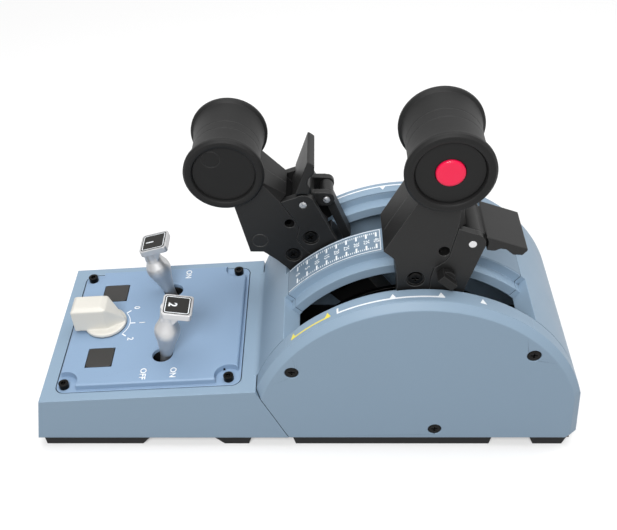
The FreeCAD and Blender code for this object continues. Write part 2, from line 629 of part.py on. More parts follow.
def screw_side(name, x, z, y):
    """Screw along Y: y holds the head's face, the head's back and the shank's end."""
    face, back, end = y
    head = rod_y(name + "_head", "side_head", (face, back), x, z)
    shank = rod_y(name + "_shank", "screw_radius", (back, end), x, z)
    slots = []
    for i, (a, b) in enumerate([("drive_long", "drive_short"), ("drive_short", "drive_long")]):
        slots.append(box(f"{name}_slot_{i}", (f"{x} - {a}", f"{x} + {a}"),
                         (f"{face} - 1", f"{face} + 1"),
                         (f"{z} - {b}", f"{z} + {b}")))
    return cut(name, fuse(name + "_blank", head, shank), *slots)


def axle_group():
    """Axle, its three blocks, the spacers and the detent plates."""
    bore = "axle_radius + running_gap"
    node("axle", rod_y("axle_bar", "axle_radius", both("axle_half")))
    outline = [(minus("block_half"), "base_top"), ("block_half", "base_top"),
               ("block_half", "block_top - 3"),
               ("block_top", "block_height"), (minus("block_top"), "block_height"),
               (minus("block_half"), "block_top - 3")]
    right_y = (minus("outer_block_out"), minus("outer_block_in"))
    x, z = SIDE_SCREWS[2]
    thread = rod_y("block_thread", "thread_radius", (minus("outer_block_out + 1"),
                                                     minus("outer_block_out - 8")), x, z)
    right = cut("right_block", prism("right_block_blank", outline, right_y),
                rod_y("right_block_bore", bore, both("half_width")), thread)
    two_sided("pivot_blocks", right)
    post = prism("centre_post_blank", [(minus("post_half"), "0"), ("post_half", "0"),
                                       ("post_half", "slot_floor - arch_rib_depth - 1"),
                                       (minus("post_half"), "slot_floor - arch_rib_depth - 1")],
                 both("centre_block_half"))
    centre = fuse("centre_blank", prism("centre_block_blank", outline, both("centre_block_half")), post)
    node("centre_post", cut("centre_cut", centre, rod_y("centre_bore", bore, both("half_width"))))
    spacer_y = (minus("lever_offset - stem_half - part_gap"), minus("centre_block_half + part_gap"))
    spacer = cut("right_spacer", rod_y("spacer_outer", "bush_radius", spacer_y),
                 rod_y("spacer_bore", bore, spacer_y))
    two_sided("axle_spacers", spacer)
    plate_y = (minus("centre_block_half + detent_thick"), minus("centre_block_half"))
    sector = arch("detent_sector", "detent_radius - detent_half", "detent_radius + detent_half",
                  minus("detent_aft"), "detent_fore", plate_y)
    holes = [rod_y(f"detent_hole_{i}", "detent_hole", both("half_width"),
                   f"detent_radius * sin({angle})",
                   f"detent_radius * cos({angle})") for i, angle in enumerate(DETENTS)]
    plate = cut("right_detents", sector, *holes)
    two_sided("detent_plates", plate)


DETENTS = ("left_rest", "-23.5", "-2", "13.2", "25")


def electronics():
    """Lever sensors beside the outer blocks, the main board, and the socket in the tail."""
    board_y = (minus("outer_block_in"), minus("outer_block_in - board_thick"))
    board = cut("right_sensor", box("sensor_sheet", both("10"), board_y, ("base_top", "11")),
                rod_y("sensor_bore", "axle_radius + 1", both("half_width")))
    two_sided("sensor_boards", board)
    sheet_z = ("board_z", "board_z + board_thick")
    card = box("card", ("-panel_x - 27", "-panel_x + 27"), both("24"), sheet_z)
    chip = box("card_chip", ("-panel_x - 5", "-panel_x + 5"), both("5"), ("board_z", "board_z + 2.4"))
    plug = box("card_plug", ("-panel_x + 15", "-panel_x + 20"), both("8"), ("board_z", "board_z + 6"))
    drills = [rod_z(f"card_bore_{i}", "screw_bore", ("board_z - 1", "board_z + 8"), x, y)
              for i, (x, y) in enumerate(BOARD_POSTS)]
    node("main_board", cut("card_cut", fuse("card_blank", card, chip, plug), *drills))
    wall = "0.45"
    outside = box("socket_outer", ("tail_foot + 1.6", "tail_foot + 9"), both("usb_half - 0.1"),
                  ("usb_low + 0.1", "usb_high - 0.1"))
    inside = box("socket_inner", ("tail_foot", "tail_foot + 8"), both(f"usb_half - 0.1 - {wall}"),
                 (f"usb_low + 0.1 + {wall}", f"usb_high - 0.1 - {wall}"))
    tongue = box("socket_tongue", ("tail_foot + 3", "tail_foot + 8.5"), both("usb_half - 1.5"),
                 ("(usb_low + usb_high) / 2 - 0.35", "(usb_low + usb_high) / 2 + 0.35"))
    node("usb_socket", fuse("socket", cut("socket_shell", outside, inside), tongue))


BOARD_POSTS = [(x, y) for x in ("-panel_x - 23", "-panel_x + 23") for y in ("19", "-19")]


def side_screws():
    face, back = minus("half_width - sink_depth + head_thin"), minus("half_width - sink_depth")
    screws = []
    for i, (x, z) in enumerate(SIDE_SCREWS):
        end = minus("outer_block_out - 6") if z == "0" else minus("body_in - 5")
        screws.append(screw_side(f"side_screw_{i}", x, z, (face, back, end)))
    right = group("right_side_screws", *screws)
    two_sided("side_screws", right)


# ---- levers ----

ARM = [("-13.7", "stem_top + part_gap"), ("-13.7", "72"), ("-14.5", "78.7"), ("-16.0", "85.6"),
       ("-20.5", "89.3"), ("-9.8", "112"), ("-9.0", "117"), ("4.2", "117"), ("4.9", "110"), ("6.8",
                                                                                             "101.1")]
SEAM = [("5.0", "88.4"), ("3.8", "85.3"), ("-0.2", "82.0"), ("-1.2", "76.8"),
        ("-0.8", "stem_top + part_gap")]
ARM_SPACE = [("-11.4", "60"), ("-11.6", "72"), ("-12.4", "79"), ("-14.2", "86.6"), ("-17.4", "89.9"),
             ("-8.6", "108"), ("2.6", "108"), ("4.2", "101"), ("2.4", "89"), ("1.6",
                                                                              "86.6"), ("-3.2", "83"),
             ("-3.8", "60")]
SCREW_1 = ("-6.8", "76.0")
SCREW_2 = ("5.1", "78.5")
GRIP_LINE = [("grip_bore", "13.3"), ("cap_radius + 0.1", "13.3"), ("cap_radius + 0.1", "16.6"),
             ("13.4", "17.8"), ("14.6", "grip_half"), ("15.9", "18.0"), ("grip_radius", "16.9"),
             ("grip_radius", "15.6"), ("16.2", "15.0"), ("15.6", "14.6"), ("15.2", "12.2"), ("14.9",
                                                                                             "9"),
             ("14.7", "5.5"), ("waist_radius", "2"), ("waist_radius", "-2"), ("14.7",
                                                                              "-5.5"), ("14.9", "-9"),
             ("15.2", "-12.2"), ("15.6", "-14.6"), ("16.2", "-15.0"), ("grip_radius", "-15.6"),
             ("grip_radius", "-16.9"), ("15.9", "-18.0"), ("14.6", "-grip_half"), ("13.4", "-17.8"),
             ("cap_radius + 0.1", "-16.6"), ("cap_radius + 0.1", "-13.3"), ("grip_bore", "-13.3")]


def turned_about_grip(name, points):
    """Revolves an outline of radius and width about the handle's own axis."""
    obj = doc.addObject("Part::Revolution", name)
    obj.Source = sketch(name + "_outline", points, upright=False)
    obj.Axis = Vector(0, 1, 0)
    obj.Angle = 360
    obj.Solid = True
    return bind(obj, Placement__Base__z="grip_height")


def lever_core():
    """Hub, tapering stem, web inside the arm, neck and the boss inside the handle."""
    side = both("stem_half")
    hub = rod_y("core_hub", "hub_radius", side)
    stem = prism("core_stem", [("-7", "0"), ("7", "0"), ("9.4", "60"), ("9.4", "stem_top"),
                               ("-12", "stem_top"), ("-12", "60")], side)
    web = prism("core_web", [("-11", "68"), ("6.4", "68"), ("6.4", "83.4"), ("-2.6", "83.4"),
                             ("-2.6", "107.6"),
                             ("-8.2", "107.6"), ("-13.4", "89"), ("-11", "78")], both("web_half"))
    neck = box("core_neck", ("-6", "3.4"), both("web_half"), ("100", "grip_height"))
    boss = rod_y("core_boss", "grip_bore - running_gap", both("13.2"), "0", "grip_height")
    recess = rod_y("core_button_well", "button_radius + 0.6", (minus("14"), minus("10.4")), "0",
                   "grip_height")
    bores = [rod_y("core_axle_bore", "axle_radius + running_gap", both("half_width")), recess,
             rod_y("core_plunger_bore", "plunger_radius + running_gap", ("1", "stem_half + 1"), "0",
                   "detent_radius")]
    bores += [rod_y(f"core_screw_bore_{i}", "thread_radius", both("half_width"), *place)
              for i, place in enumerate([SCREW_1, SCREW_2])]
    lever_pair("core", cut("core_cut", fuse("core_blank", hub, stem, web, neck, boss), *bores))


def arm_shells():
    """Two hollow halves that close over the web, cut round the handle."""
    clear = [(f"{radius} + part_gap", width) for radius, width in GRIP_LINE]
    grip_room = turned_about_grip("arm_grip_room", [("0", "grip_half + 1"), ("14.6", "grip_half + 1")] +
                                  clear[5:23] + [("14.6", "-grip_half - 1"), ("0", "-grip_half - 1")])
    slot = box("arm_slot", ("-5", "8"), both("web_half + part_gap"), ("60", "84"))
    neck_room = box("arm_neck_room", ("-9.4", "3.7"), both("web_half + part_gap"), ("80", "130"))
    hole = rod_y("arm_hole", "2.25", both("half_width"), "2.8", "90.3")
    ring = cut("arm_ring", rod_y("arm_ring_outer", "3.5", ("8", "arm_half + 1"), "-13.2", "91.4"),
               rod_y("arm_ring_inner", "3.2", ("8", "arm_half + 1"), "-13.2", "91.4"),
               box("arm_ring_floor", ("-20", "-5"), ("0", "arm_half - 0.3"), ("80", "100")))
    plan = [("3", "-arm_half"), ("6.8", "-arm_half"), ("nose_front", "-arm_half + nose_bevel"),
            ("nose_front", "arm_half - nose_bevel"), ("6.8", "arm_half"), ("3", "arm_half")]
    lean = [("3", "101.4"), ("nose_front", "101.4"), ("nose_front - 3.4", "117"), ("3", "117")]
    nose = common("arm_nose", tower("arm_nose_plan", plan, ("101.4", "117")),
                  prism("arm_nose_side", lean, both("arm_half")))
    for part, low, high, reach in (("arm_shell_outer", "-arm_half", "-0.05", "-arm_half + 2.3"),
                                   ("arm_shell_inner", "0.05", "arm_half", "arm_half - 2.3")):
        outer = part == "arm_shell_outer"
        room = (reach, "1") if outer else ("-1", reach)
        boss_y = (low, "-web_half - 0.05") if outer else ("web_half + 0.05", high)
        sink_y = ("-arm_half - 1",
                  "-arm_half + head_recess") if outer else ("arm_half - head_recess", "arm_half + 1")
        shell = cut(part + "_shell", prism(part + "_blank", ARM + SEAM, (low, high)),
                    prism(part + "_room", ARM_SPACE, room))
        boss = rod_y(part + "_boss", "3.6", boss_y, *SCREW_1)
        half_nose = common(part + "_nose", nose, box(part + "_nose_half", ("0", "20"), (low, high),
                                                     ("90", "120")))
        tools = [grip_room, slot, neck_room, hole, rod_y(part + "_bore", "screw_bore", (low, high),
                                                         *SCREW_1),
                 rod_y(part + "_sink", "3.7", sink_y, *SCREW_1)]
        if not outer:
            tools.append(ring)
        lever_pair(part, cut(part + "_cut", fuse(part + "_whole", shell, boss, half_nose), *tools))


def bracket():
    """Fork on the front of the arm that carries the latch."""
    outline = SEAM[::-1] + [("6.8 + part_gap", "101.1"), ("14.9", "98.6"), ("18.1", "92.4"),
                            ("13.2", "71.8"),
                            ("12.8", "stem_top + part_gap")]
    moved = [(f"{x} + part_gap" if i < 5 else x, z) for i, (x, z) in enumerate(outline)]
    blank = fuse("bracket_blank", prism("bracket_plate", moved, both("arm_half")),
                 rod_y("bracket_eye", "5", both("arm_half"), "latch_pin_x", "latch_pin_z"))
    gap = box("bracket_gap", ("web_front", "30"), both("cheek_in"), ("50", "120"))
    slot = box("bracket_slot", ("-3", "6.7"), both("web_half + part_gap"), ("60", "84"))
    pin = rod_y("bracket_pin_bore", "pin_radius + running_gap", both("half_width"), "latch_pin_x",
                "latch_pin_z")
    bore = rod_y("bracket_screw_bore", "screw_bore", both("half_width"), *SCREW_2)
    sink = rod_y("bracket_sink", "3.7", ("arm_half - head_recess", "arm_half + 1"), *SCREW_2)
    lever_pair("bracket", cut("bracket_cut", blank, gap, slot, pin, bore, sink))


def handle():
    """Waisted roller grip, its two end caps and the thumb button."""
    grip = turned_about_grip("grip_turning", GRIP_LINE)
    neck = box("grip_neck_slot", ("-6.3", "3.7"), both("web_half + part_gap"),
               ("grip_height - 20", "grip_height"))
    grooves = []
    for i, y in enumerate(("-1.5", "4")):
        ring_y = (f"{y} - 0.12", f"{y} + 0.12")
        grooves.append(cut(f"grip_groove_{i}", rod_y(f"groove_outer_{i}", "grip_radius + 2", ring_y,
                                                     "0", "grip_height"),
                           rod_y(f"groove_inner_{i}", "waist_radius - 0.25", ring_y, "0",
                                 "grip_height")))
    lever_pair("grip", cut("grip_cut", grip, neck, *grooves))
    cap_y = (minus("cap_face"), minus("cap_face - cap_thick"))
    outer = cut("cap_outer", rod_y("cap_outer_disc", "cap_radius", cap_y, "0", "grip_height"),
                rod_y("cap_outer_hole", "button_radius + button_gap", both("half_width"), "0",
                      "grip_height"))
    lever_pair("cap_outer", outer)
    inner_y = ("cap_face - cap_thick", "cap_face")
    ring_y = ("cap_face - 0.2", "cap_face + 1")
    ring = cut("cap_ring", rod_y("cap_ring_outer", "3.9", ring_y, "0.5", "grip_height + 8.6"),
               rod_y("cap_ring_inner", "3.6", ring_y, "0.5", "grip_height + 8.6"))
    lever_pair("cap_inner", cut("cap_inner", rod_y("cap_inner_disc", "cap_radius", inner_y, "0",
                                                   "grip_height"), ring))
    button = rod_y("button_disc", "button_radius", (minus("cap_face + button_proud"), minus("13.0")),
                   "0", "grip_height")
    lever_pair("disconnect_button", dressed("button_soft", "Fillet", button, "button_round",
                                            lambda edge: edge.CenterOfMass.y < -sheet.cap_face))


def latch():
    """Reverser latch: a flat paddle on a hub between the cheeks, its link pin and its rod."""
    outline = [("18.1", "97.7"), ("35.0", "92.5"), ("34.8", "91.6"), ("33.2", "89.5"), ("29.5", "89.6"),
               ("26.6", "92.0"), ("24.2", "92.3"), ("22.2", "91.1"), ("19.3", "91.4"), ("17.2", "94")]
    place = ("latch_pin_x", "latch_pin_z")
    paddle = cut("latch_paddle", prism("latch_plate", outline, both("arm_half")),
                 rod_y("latch_clearance", "latch_clear", both("half_width"), *place))
    bridge = prism("latch_bridge", [("13.4", "97.6"), ("20.0", "97.0"), ("22.2", "91.2"),
                                    ("13.4", "89.6")],
                   both("cheek_in - part_gap"))
    root = rod_y("latch_root_disc", "latch_root", both("cheek_in - part_gap"), *place)
    link = ("latch_pin_x", "latch_pin_z - link_drop")
    lugs = []
    for side, y in (("right", ("-lug_out", "-lug_in")), ("left", ("lug_in", "lug_out"))):
        lugs.append(rod_y(f"latch_lug_{side}", "lug_radius", y, *link))
        lugs.append(box(f"latch_arm_{side}", ("latch_pin_x - lug_radius",
                                              "latch_pin_x + lug_radius"), y,
                        ("latch_pin_z - link_drop", "latch_pin_z")))
    bores = [rod_y("latch_pin_bore", "pin_radius + running_gap", both("half_width"), *place),
             rod_y("latch_link_bore", "link_radius", both("half_width"), *link)]
    whole = cut("latch_cut", fuse("latch_blank", paddle, bridge, root, *lugs), *bores)
    raised = ("pin_right_x", "pin_right_z"), ("pin_left_x", "pin_left_z")
    lever_pair("latch", whole, "left_turn - latch_angle", *raised)
    lever_pair("link_pin", rod_y("link_bar", "link_radius", both("lug_out + 0.5"), *link),
               "left_turn - latch_angle", *raised)
    rod_bar = fuse("rod_blank", rod_y("rod_eye", "3", both("rod_half"), *link),
                   box("rod_bar", ("latch_pin_x - rod_width / 2", "latch_pin_x + rod_width / 2"),
                       both("rod_half"),
                       ("latch_pin_z - link_drop - rod_length", "latch_pin_z - link_drop")))
    rod = cut("rod_cut", rod_bar, rod_y("rod_bore", "link_radius + running_gap", both("half_width"),
                                        *link))
    lever_pair("latch_rod", rod, "left_turn + latch_angle * (rod_ratio - 1)",
               ("link_right_x", "link_right_z"), ("link_left_x", "link_left_z"))


def lever_trim():
    """Arm screws and latch pin, the tension knob, the hub magnet and the detent plunger."""
    head_y = ("-arm_half + 0.3", "-arm_half + head_recess", "-1")
    first = screw_side("arm_screw_outer", *SCREW_1, head_y)
    second = back_screw("arm_screw_inner", *SCREW_1)
    third = back_screw("bracket_screw", *SCREW_2)
    pin = rod_y("latch_bar", "pin_radius", both("arm_half - 0.1"), "latch_pin_x", "latch_pin_z")
    lever_pair("arm_fasteners", group("arm_fastener_set", first, second, third, pin))
    disc_y = ("-arm_half - knob_disc - 0.2", "-arm_half - 0.2")
    disc = rod_y("tension_disc", "knob_radius", disc_y, *SCREW_2)
    x, z = SCREW_2
    wing_line = [(f"{x} + {a} * cos(wing_turn) + {b} * sin(wing_turn)",
                  f"{z} - {a} * sin(wing_turn) + {b} * cos(wing_turn)")
                 for a, b in (("wing_long", "-wing_half"), ("wing_long", "wing_half"),
                              ("-wing_long", "wing_half"),
                              ("-wing_long", "-wing_half"))]
    wing = prism("tension_wing", wing_line, ("-arm_half - knob_reach", "-arm_half - 0.2"))
    shank = rod_y("tension_shank", "screw_radius", ("-arm_half - 1", "-web_half"), *SCREW_2)
    lever_pair("tension_knob", fuse("tension_blank", disc, wing, shank))
    magnet_y = (minus("stem_half + magnet_thick"), minus("stem_half"))
    lever_pair("hub_magnet", cut("magnet_cut", rod_y("magnet_outer", "6", magnet_y),
                                 rod_y("magnet_bore", "axle_radius + 0.5", magnet_y)))
    tip = "lever_offset - centre_block_half - detent_thick - part_gap"
    plunger = fuse("plunger_blank", rod_y("plunger_body", "plunger_radius", ("2.2", f"{tip} - 1"),
                                          "0", "detent_radius"),
                   rod_y("plunger_tip", "1", ("2.2", tip), "0", "detent_radius"))
    lever_pair("detent_plunger", plunger)


def back_screw(name, x, z):
    """Screw whose head faces the other lever."""
    head = rod_y(name + "_head", "side_head", ("arm_half - head_recess", "arm_half - 0.3"), x, z)
    shank = rod_y(name + "_shank", "screw_radius", ("1", "arm_half - head_recess"), x, z)
    slots = []
    for i, (a, b) in enumerate([("drive_long", "drive_short"), ("drive_short", "drive_long")]):
        slots.append(box(f"{name}_slot_{i}", (f"{x} - {a}", f"{x} + {a}"),
                         ("arm_half - 1.3", "arm_half + 1"),
                         (f"{z} - {b}", f"{z} + {b}")))
    return cut(name, fuse(name + "_blank", head, shank), *slots)


# ---- engine panel ----

def rounded_box(name, x, y, z, radius):
    """Box with its four upright edges rounded."""
    blank = box(name + "_blank", x, y, z)
    return dressed(name, "Fillet", blank, radius,
                   lambda edge: edge.BoundBox.XLength < 1e-6 and edge.BoundBox.YLength < 1e-6)


def top_bevel(name, base, size):
    """Chamfer round the top face."""
    doc.recompute()
    top = base.Shape.BoundBox.ZMax
    return dressed(name, "Chamfer", base, size, lambda edge: edge.BoundBox.ZMin > top - 1e-4)


def engine_panel():
    """Raised plate with pockets for its screws and openings for the controls."""
    flange = rounded_box("panel_flange_plate", both("panel_length / 2"), both("panel_width / 2"),
                         (minus("panel_flange"), "0"), "panel_corner")
    plateau = rounded_box("panel_plateau", both("panel_length / 2 - panel_step"),
                          both("panel_width / 2 - panel_step"), ("-0.5", "panel_rise"), "panel_corner")
    blank = fuse("panel_blank", flange, top_bevel("panel_plateau_bevel", plateau, "panel_bevel"))
    tools = [box("panel_under", both("panel_length / 2 - 7"), both("panel_width / 2 - 9"),
                 ("-panel_flange - 1", "1"))]
    for i, (x, y) in enumerate(PANEL_SCREWS):
        tools.append(rod_z(f"panel_pocket_{i}", "pocket_radius", ("0", "9"), x, y))
        tools.append(rod_z(f"panel_bore_{i}", "screw_bore", ("-9", "9"), x, y))
    for i, y in enumerate(("-switch_y", "switch_y")):
        hole = "key_half + key_gap"
        tools.append(box(f"key_hole_{i}", (f"-key_x - ({hole})", f"-key_x + {hole}"),
                         (f"{y} - ({hole})", f"{y} + {hole}"), ("-9", "9")))
        tools.append(rod_z(f"toggle_hole_{i}", "toggle_hole", ("-9", "9"), "toggle_x", y))
    tools.append(rod_z("knob_hole", "knob_shaft + 0.3", ("-9", "9"), minus("knob_x"), "0"))
    node("engine_panel", cut("panel_cut", blank, *tools), DECK)
    node("panel_screws", group("panel_screw_set", *[panel_screw(f"panel_screw_{i}", x, y)
                                                    for i, (x, y) in enumerate(PANEL_SCREWS)]), DECK)


def panel_screw(name, x, y):
    """Cap screw with a hexagonal socket."""
    head = rod_z(name + "_head", "2.2", ("0", "2.4"), x, y)
    shank = rod_z(name + "_shank", "screw_radius", ("-8", "0"), x, y)
    socket = tower(name + "_socket", [(f"{x} + 1.25 * cos({60 * i})", f"{y} + 1.25 * sin({60 * i})")
                                      for i in range(6)], ("1.2", "3"))
    return cut(name, fuse(name + "_blank", head, shank), socket)


def controls():
    """Two push keys, two engine toggles and the rotary selector, with their switch bodies."""
    key_z = ("-2", "panel_rise + key_proud")
    key = rounded_box("key", ("-key_x - key_half", "-key_x + key_half"),
                      ("-switch_y - key_half", "-switch_y + key_half"), key_z, "key_corner")
    right_key = top_bevel("right_key", key, "key_proud")
    node_pair("key_right", "key_left", right_key, DECK)
    switch = box("key_switch", ("-key_x - 5", "-key_x + 5"), ("-switch_y - 5", "-switch_y + 5"),
                 ("-9", "-2 - key_travel - part_gap"))
    two_sided("key_switches", switch, DECK)
    body = box("toggle_case", ("toggle_x - 6.5", "toggle_x + 6.5"), ("-switch_y - 6", "-switch_y + 6"),
               ("-toggle_pivot - 9", "0.9"))
    room = box("toggle_room", ("toggle_x - 5.3", "toggle_x + 5.3"),
               ("-switch_y - 3.6", "-switch_y + 3.6"),
               ("-toggle_pivot - 7", "2"))
    pivot_bore = rod_y("toggle_pivot_bore", "1.2 + running_gap", ("-switch_y - 5.4", "-switch_y + 5.4"),
                       "toggle_x", "-toggle_pivot")
    case = cut("toggle_case_cut", body, room, pivot_bore)
    two_sided("toggle_cases", case, DECK)
    toggles()
    knob = [rod_z("dial", "dial_radius", ("panel_rise + part_gap", "dial_top")),
            rod_z("dial_shaft", "knob_shaft", ("-11", "dial_top")), selector_bar()]
    node("selector_knob", fuse("knob", *knob), DECK)
    bind(NODES["selector_knob"], Placement__Base__x="panel_world_x - knob_x * cos(deck_angle)",
         Placement__Base__z="panel_world_z - knob_x * sin(deck_angle)")
    case = cut("selector_case", box("selector_case_blank", ("-knob_x - 8", "-knob_x + 8"), both("8"),
                                    ("-12", "0.9")),
               rod_z("selector_case_bore", "knob_shaft + running_gap", ("-11.5", "9"),
                     minus("knob_x"), "0"))
    node("selector_body", case, DECK)


def selector_bar():
    """Tall bar of the selector that tapers forward to a low point."""
    plan = tower("bar_plan", [(minus("bar_tail"), minus("bar_half")), ("bar_front", minus("bar_half")),
                              ("bar_point", "-0.4"), ("bar_point", "0.4"), ("bar_front", "bar_half"),
                              (minus("bar_tail"), "bar_half")], ("dial_top - 0.5", "bar_top"))
    side = prism("bar_side", [(minus("bar_tail"), "dial_top - 0.5"), ("bar_point", "dial_top - 0.5"),
                              ("bar_point", "dial_top + 1.8"), ("bar_front", "bar_top"),
                              (minus("bar_tail"), "bar_top")], both("bar_half + 1"))
    bar = common("bar_blank", plan, side)
    return top_bevel("bar", bar, "bar_bevel")


STEM = [("0", "-2.4"), ("2.4", "-2.4"), ("2.4", "8.2"), ("3.1", "12"), ("4.2", "17"), ("5.3", "20.5"),
        ("5.6", "21.8"), ("5.6", "23.4"), ("5.3", "25.0"), ("4.5", "26.8"), ("3.8", "28.4"), ("3.4",
                                                                                              "30.5"),
        ("3.4", "toggle_height - plate_thick / 2"), ("0", "toggle_height - plate_thick / 2")]


def toggles():
    """Flared metal toggles: the right one leans forward, the left one aft."""
    for side, y, lean in (("right", "-switch_y", "toggle_lean"), ("left", "switch_y", "-toggle_back")):
        stem = doc.addObject("Part::Revolution", f"toggle_stem_{side}")
        stem.Source = sketch(f"toggle_stem_{side}_outline", STEM)
        stem.Axis = Vector(0, 0, 1)
        stem.Angle = 360
        stem.Solid = True
        plate = rounded_box(f"toggle_plate_{side}", ("plate_offset - plate_half",
                                                     "plate_offset + plate_half"),
                            both("plate_half"), ("toggle_height - plate_thick",
                                                 "toggle_height"), "plate_corner")
        gusset = prism(f"toggle_gusset_{side}", [("-3.0", "30"), ("2.6", "29"),
                                                 ("plate_offset + 3.4", "toggle_height - 2"),
                                                 ("-2.2", "toggle_height - 2")], both("2.9"))
        pivot = rod_y(f"toggle_pivot_{side}", "1.2", both("5.2"))
        name = "toggle_" + side
        node(name, fuse(name + "_blank", stem, plate, gusset, pivot), DECK,
             Placement__Base__y=y, Placement__Rotation__Angle=f"{lean} - deck_angle",
             Placement__Base__x="panel_world_x + toggle_x * cos(deck_angle) + toggle_pivot * sin(deck_angle)",
             Placement__Base__z="panel_world_z + toggle_x * sin(deck_angle) - toggle_pivot * cos(deck_angle)")


def check_and_export():
    """Stops on any broken feature or shape, then writes one file per sub-part."""
    doc.recompute()
    broken = [obj.Name for obj in doc.Objects if "Invalid" in obj.State or "Error" in obj.State]
    if broken:
        raise RuntimeError("features that did not compute: " + ", ".join(broken))
    for name, obj in NODES.items():
        if obj.Shape.isNull() or not obj.Shape.isValid() or obj.Shape.Volume < 0.1:
            raise RuntimeError("shape is not sound: " + name)
    os.makedirs("parts", exist_ok=True)
    for name, obj in NODES.items():
        obj.Shape.exportStep(f"parts/{name}.step")


fill_sheet()
base()
rear_housing()
front_cover()
side_panels()
centre_arch()
axle_group()
electronics()
side_screws()
lever_core()
arm_shells()
bracket()
handle()
latch()
lever_trim()
engine_panel()
controls()
check_and_export()
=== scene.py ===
"""Desktop throttle quadrant: finishes, soft edges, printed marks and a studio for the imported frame."""

import json
import math

import bpy
from mathutils import Matrix, Vector

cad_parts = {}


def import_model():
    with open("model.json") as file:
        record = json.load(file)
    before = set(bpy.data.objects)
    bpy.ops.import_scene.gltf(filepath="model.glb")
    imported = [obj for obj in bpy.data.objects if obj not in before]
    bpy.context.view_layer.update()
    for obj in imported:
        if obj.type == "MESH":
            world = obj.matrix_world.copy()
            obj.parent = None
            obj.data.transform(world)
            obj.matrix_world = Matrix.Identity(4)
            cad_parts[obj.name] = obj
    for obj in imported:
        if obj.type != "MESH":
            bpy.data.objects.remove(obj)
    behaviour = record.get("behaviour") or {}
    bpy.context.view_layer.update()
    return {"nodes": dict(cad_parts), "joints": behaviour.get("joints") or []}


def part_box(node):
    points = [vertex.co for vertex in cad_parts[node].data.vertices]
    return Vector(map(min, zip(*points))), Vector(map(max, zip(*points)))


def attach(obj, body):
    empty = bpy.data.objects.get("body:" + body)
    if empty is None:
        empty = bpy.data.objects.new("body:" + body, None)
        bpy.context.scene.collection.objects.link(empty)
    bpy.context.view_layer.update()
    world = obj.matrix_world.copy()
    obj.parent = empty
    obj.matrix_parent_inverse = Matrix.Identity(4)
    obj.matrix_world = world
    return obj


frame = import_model()
NODES = frame["nodes"]
JOINTS = {joint["name"]: joint for joint in frame["joints"]}
MM = 0.001

# Samples of the node that rounds edges in shading, and the dot product of its normal with the
# surface's own where an edge begins to show and where it shows in full.
EDGE_SAMPLES = {"samples": 6}
FLAT_FACING, EDGE_FACING = 0.985, 0.86

# Moulded plastic: size of its clouds, depth of its grain in metres, width of the painted highlight
# on its edges in millimetres, and how dark the painted shade in a crevice gets.
CLOUD_SCALE = 38
GRAIN_DEPTH = 0.00006
HIGHLIGHT_EDGE_WIDTH = 0.45
CREVICE_SHADE = 0.25


# ---- shader maths ----

class Value:
    """A node socket that takes part in Python expressions."""

    def __init__(self, finish, socket):
        self.finish = finish
        self.socket = socket

    def __add__(self, other):
        return self.finish.maths("ADD", self, other)

    def __mul__(self, other):
        return self.finish.maths("MULTIPLY", self, other)

    __radd__ = __add__
    __rmul__ = __mul__


class Finish:
    """A procedural material with one Principled shader."""

    def __init__(self, name, color, rough, **constants):
        self.material = bpy.data.materials.new(name)
        self.material.use_nodes = True
        self.tree = self.material.node_tree
        self.shader = self.tree.nodes["Principled BSDF"]
        self.shader.inputs["Base Color"].default_value = (*color, 1)
        self.shader.inputs["Roughness"].default_value = rough
        for socket, value in constants.items():
            self.shader.inputs[socket.replace("_", " ")].default_value = value
        self.where = self.add("ShaderNodeTexCoord", out="Object")

    def add(self, kind, settings=None, out=0, **inputs):
        """Adds a node: settings first, then its sockets, by name or by place as i0, i1."""
        node = self.tree.nodes.new(kind)
        for key, value in (settings or {}).items():
            setattr(node, key, value)
        for key, value in inputs.items():
            by_place = key[0] == "i" and key[1:].isdigit()
            self.feed(node.inputs[int(key[1:]) if by_place else key.replace("_", " ")], value)
        return Value(self, node.outputs[out])

    def feed(self, socket, value):
        if isinstance(value, Value):
            self.tree.links.new(value.socket, socket)
        else:
            socket.default_value = value

    def maths(self, operation, *values):
        return self.add("ShaderNodeMath", {"operation": operation},
                        **{f"i{i}": value for i, value in enumerate(values)})

    def noise(self, scale, detail=3.0, roughness=0.55):
        return self.add("ShaderNodeTexNoise", Vector=self.where, Scale=scale, Detail=detail,
                        Roughness=roughness)

    def mix(self, amount, low, high):
        """Colour between low and high."""
        node = self.tree.nodes.new("ShaderNodeMix")
        node.data_type = "RGBA"
        self.feed(node.inputs["Factor"], amount)
        for socket, color in ((node.inputs[6], low), (node.inputs[7], high)):
            self.feed(socket, color if isinstance(color, Value) else (*color, 1))
        return Value(self, node.outputs[2])

    def spread(self, value, low, high, to_low, to_high):
        return self.add("ShaderNodeMapRange", Value=value, From_Min=low, From_Max=high, To_Min=to_low,
                        To_Max=to_high)

    def color(self, value):
        self.feed(self.shader.inputs["Base Color"], value)
        return self

    def rough(self, value):
        self.feed(self.shader.inputs["Roughness"], value)
        return self

    def bump(self, height, strength, distance, edge=0.0):
        """Surface relief, over edges that catch the light as if rounded by the given radius."""
        rounded = self.add("ShaderNodeBevel", EDGE_SAMPLES, Radius=edge)
        relief = self.add("ShaderNodeBump", Height=height, Strength=strength, Distance=distance,
                          Normal=rounded)
        self.feed(self.shader.inputs["Normal"], relief)
        return self


def edge_mask(finish, radius):
    """Rises to 1 on outer and inner edges, where a painted highlight is laid."""
    rounded = finish.add("ShaderNodeBevel", EDGE_SAMPLES, Radius=radius)
    flat = finish.add("ShaderNodeNewGeometry", out="Normal")
    facing = finish.add("ShaderNodeVectorMath", {"operation": "DOT_PRODUCT"}, out="Value",
                        i0=rounded, i1=flat)
    return finish.spread(facing, FLAT_FACING, EDGE_FACING, 0.0, 1.0)


def shade(color, factor):
    return tuple(min(1.0, channel * factor) for channel in color)


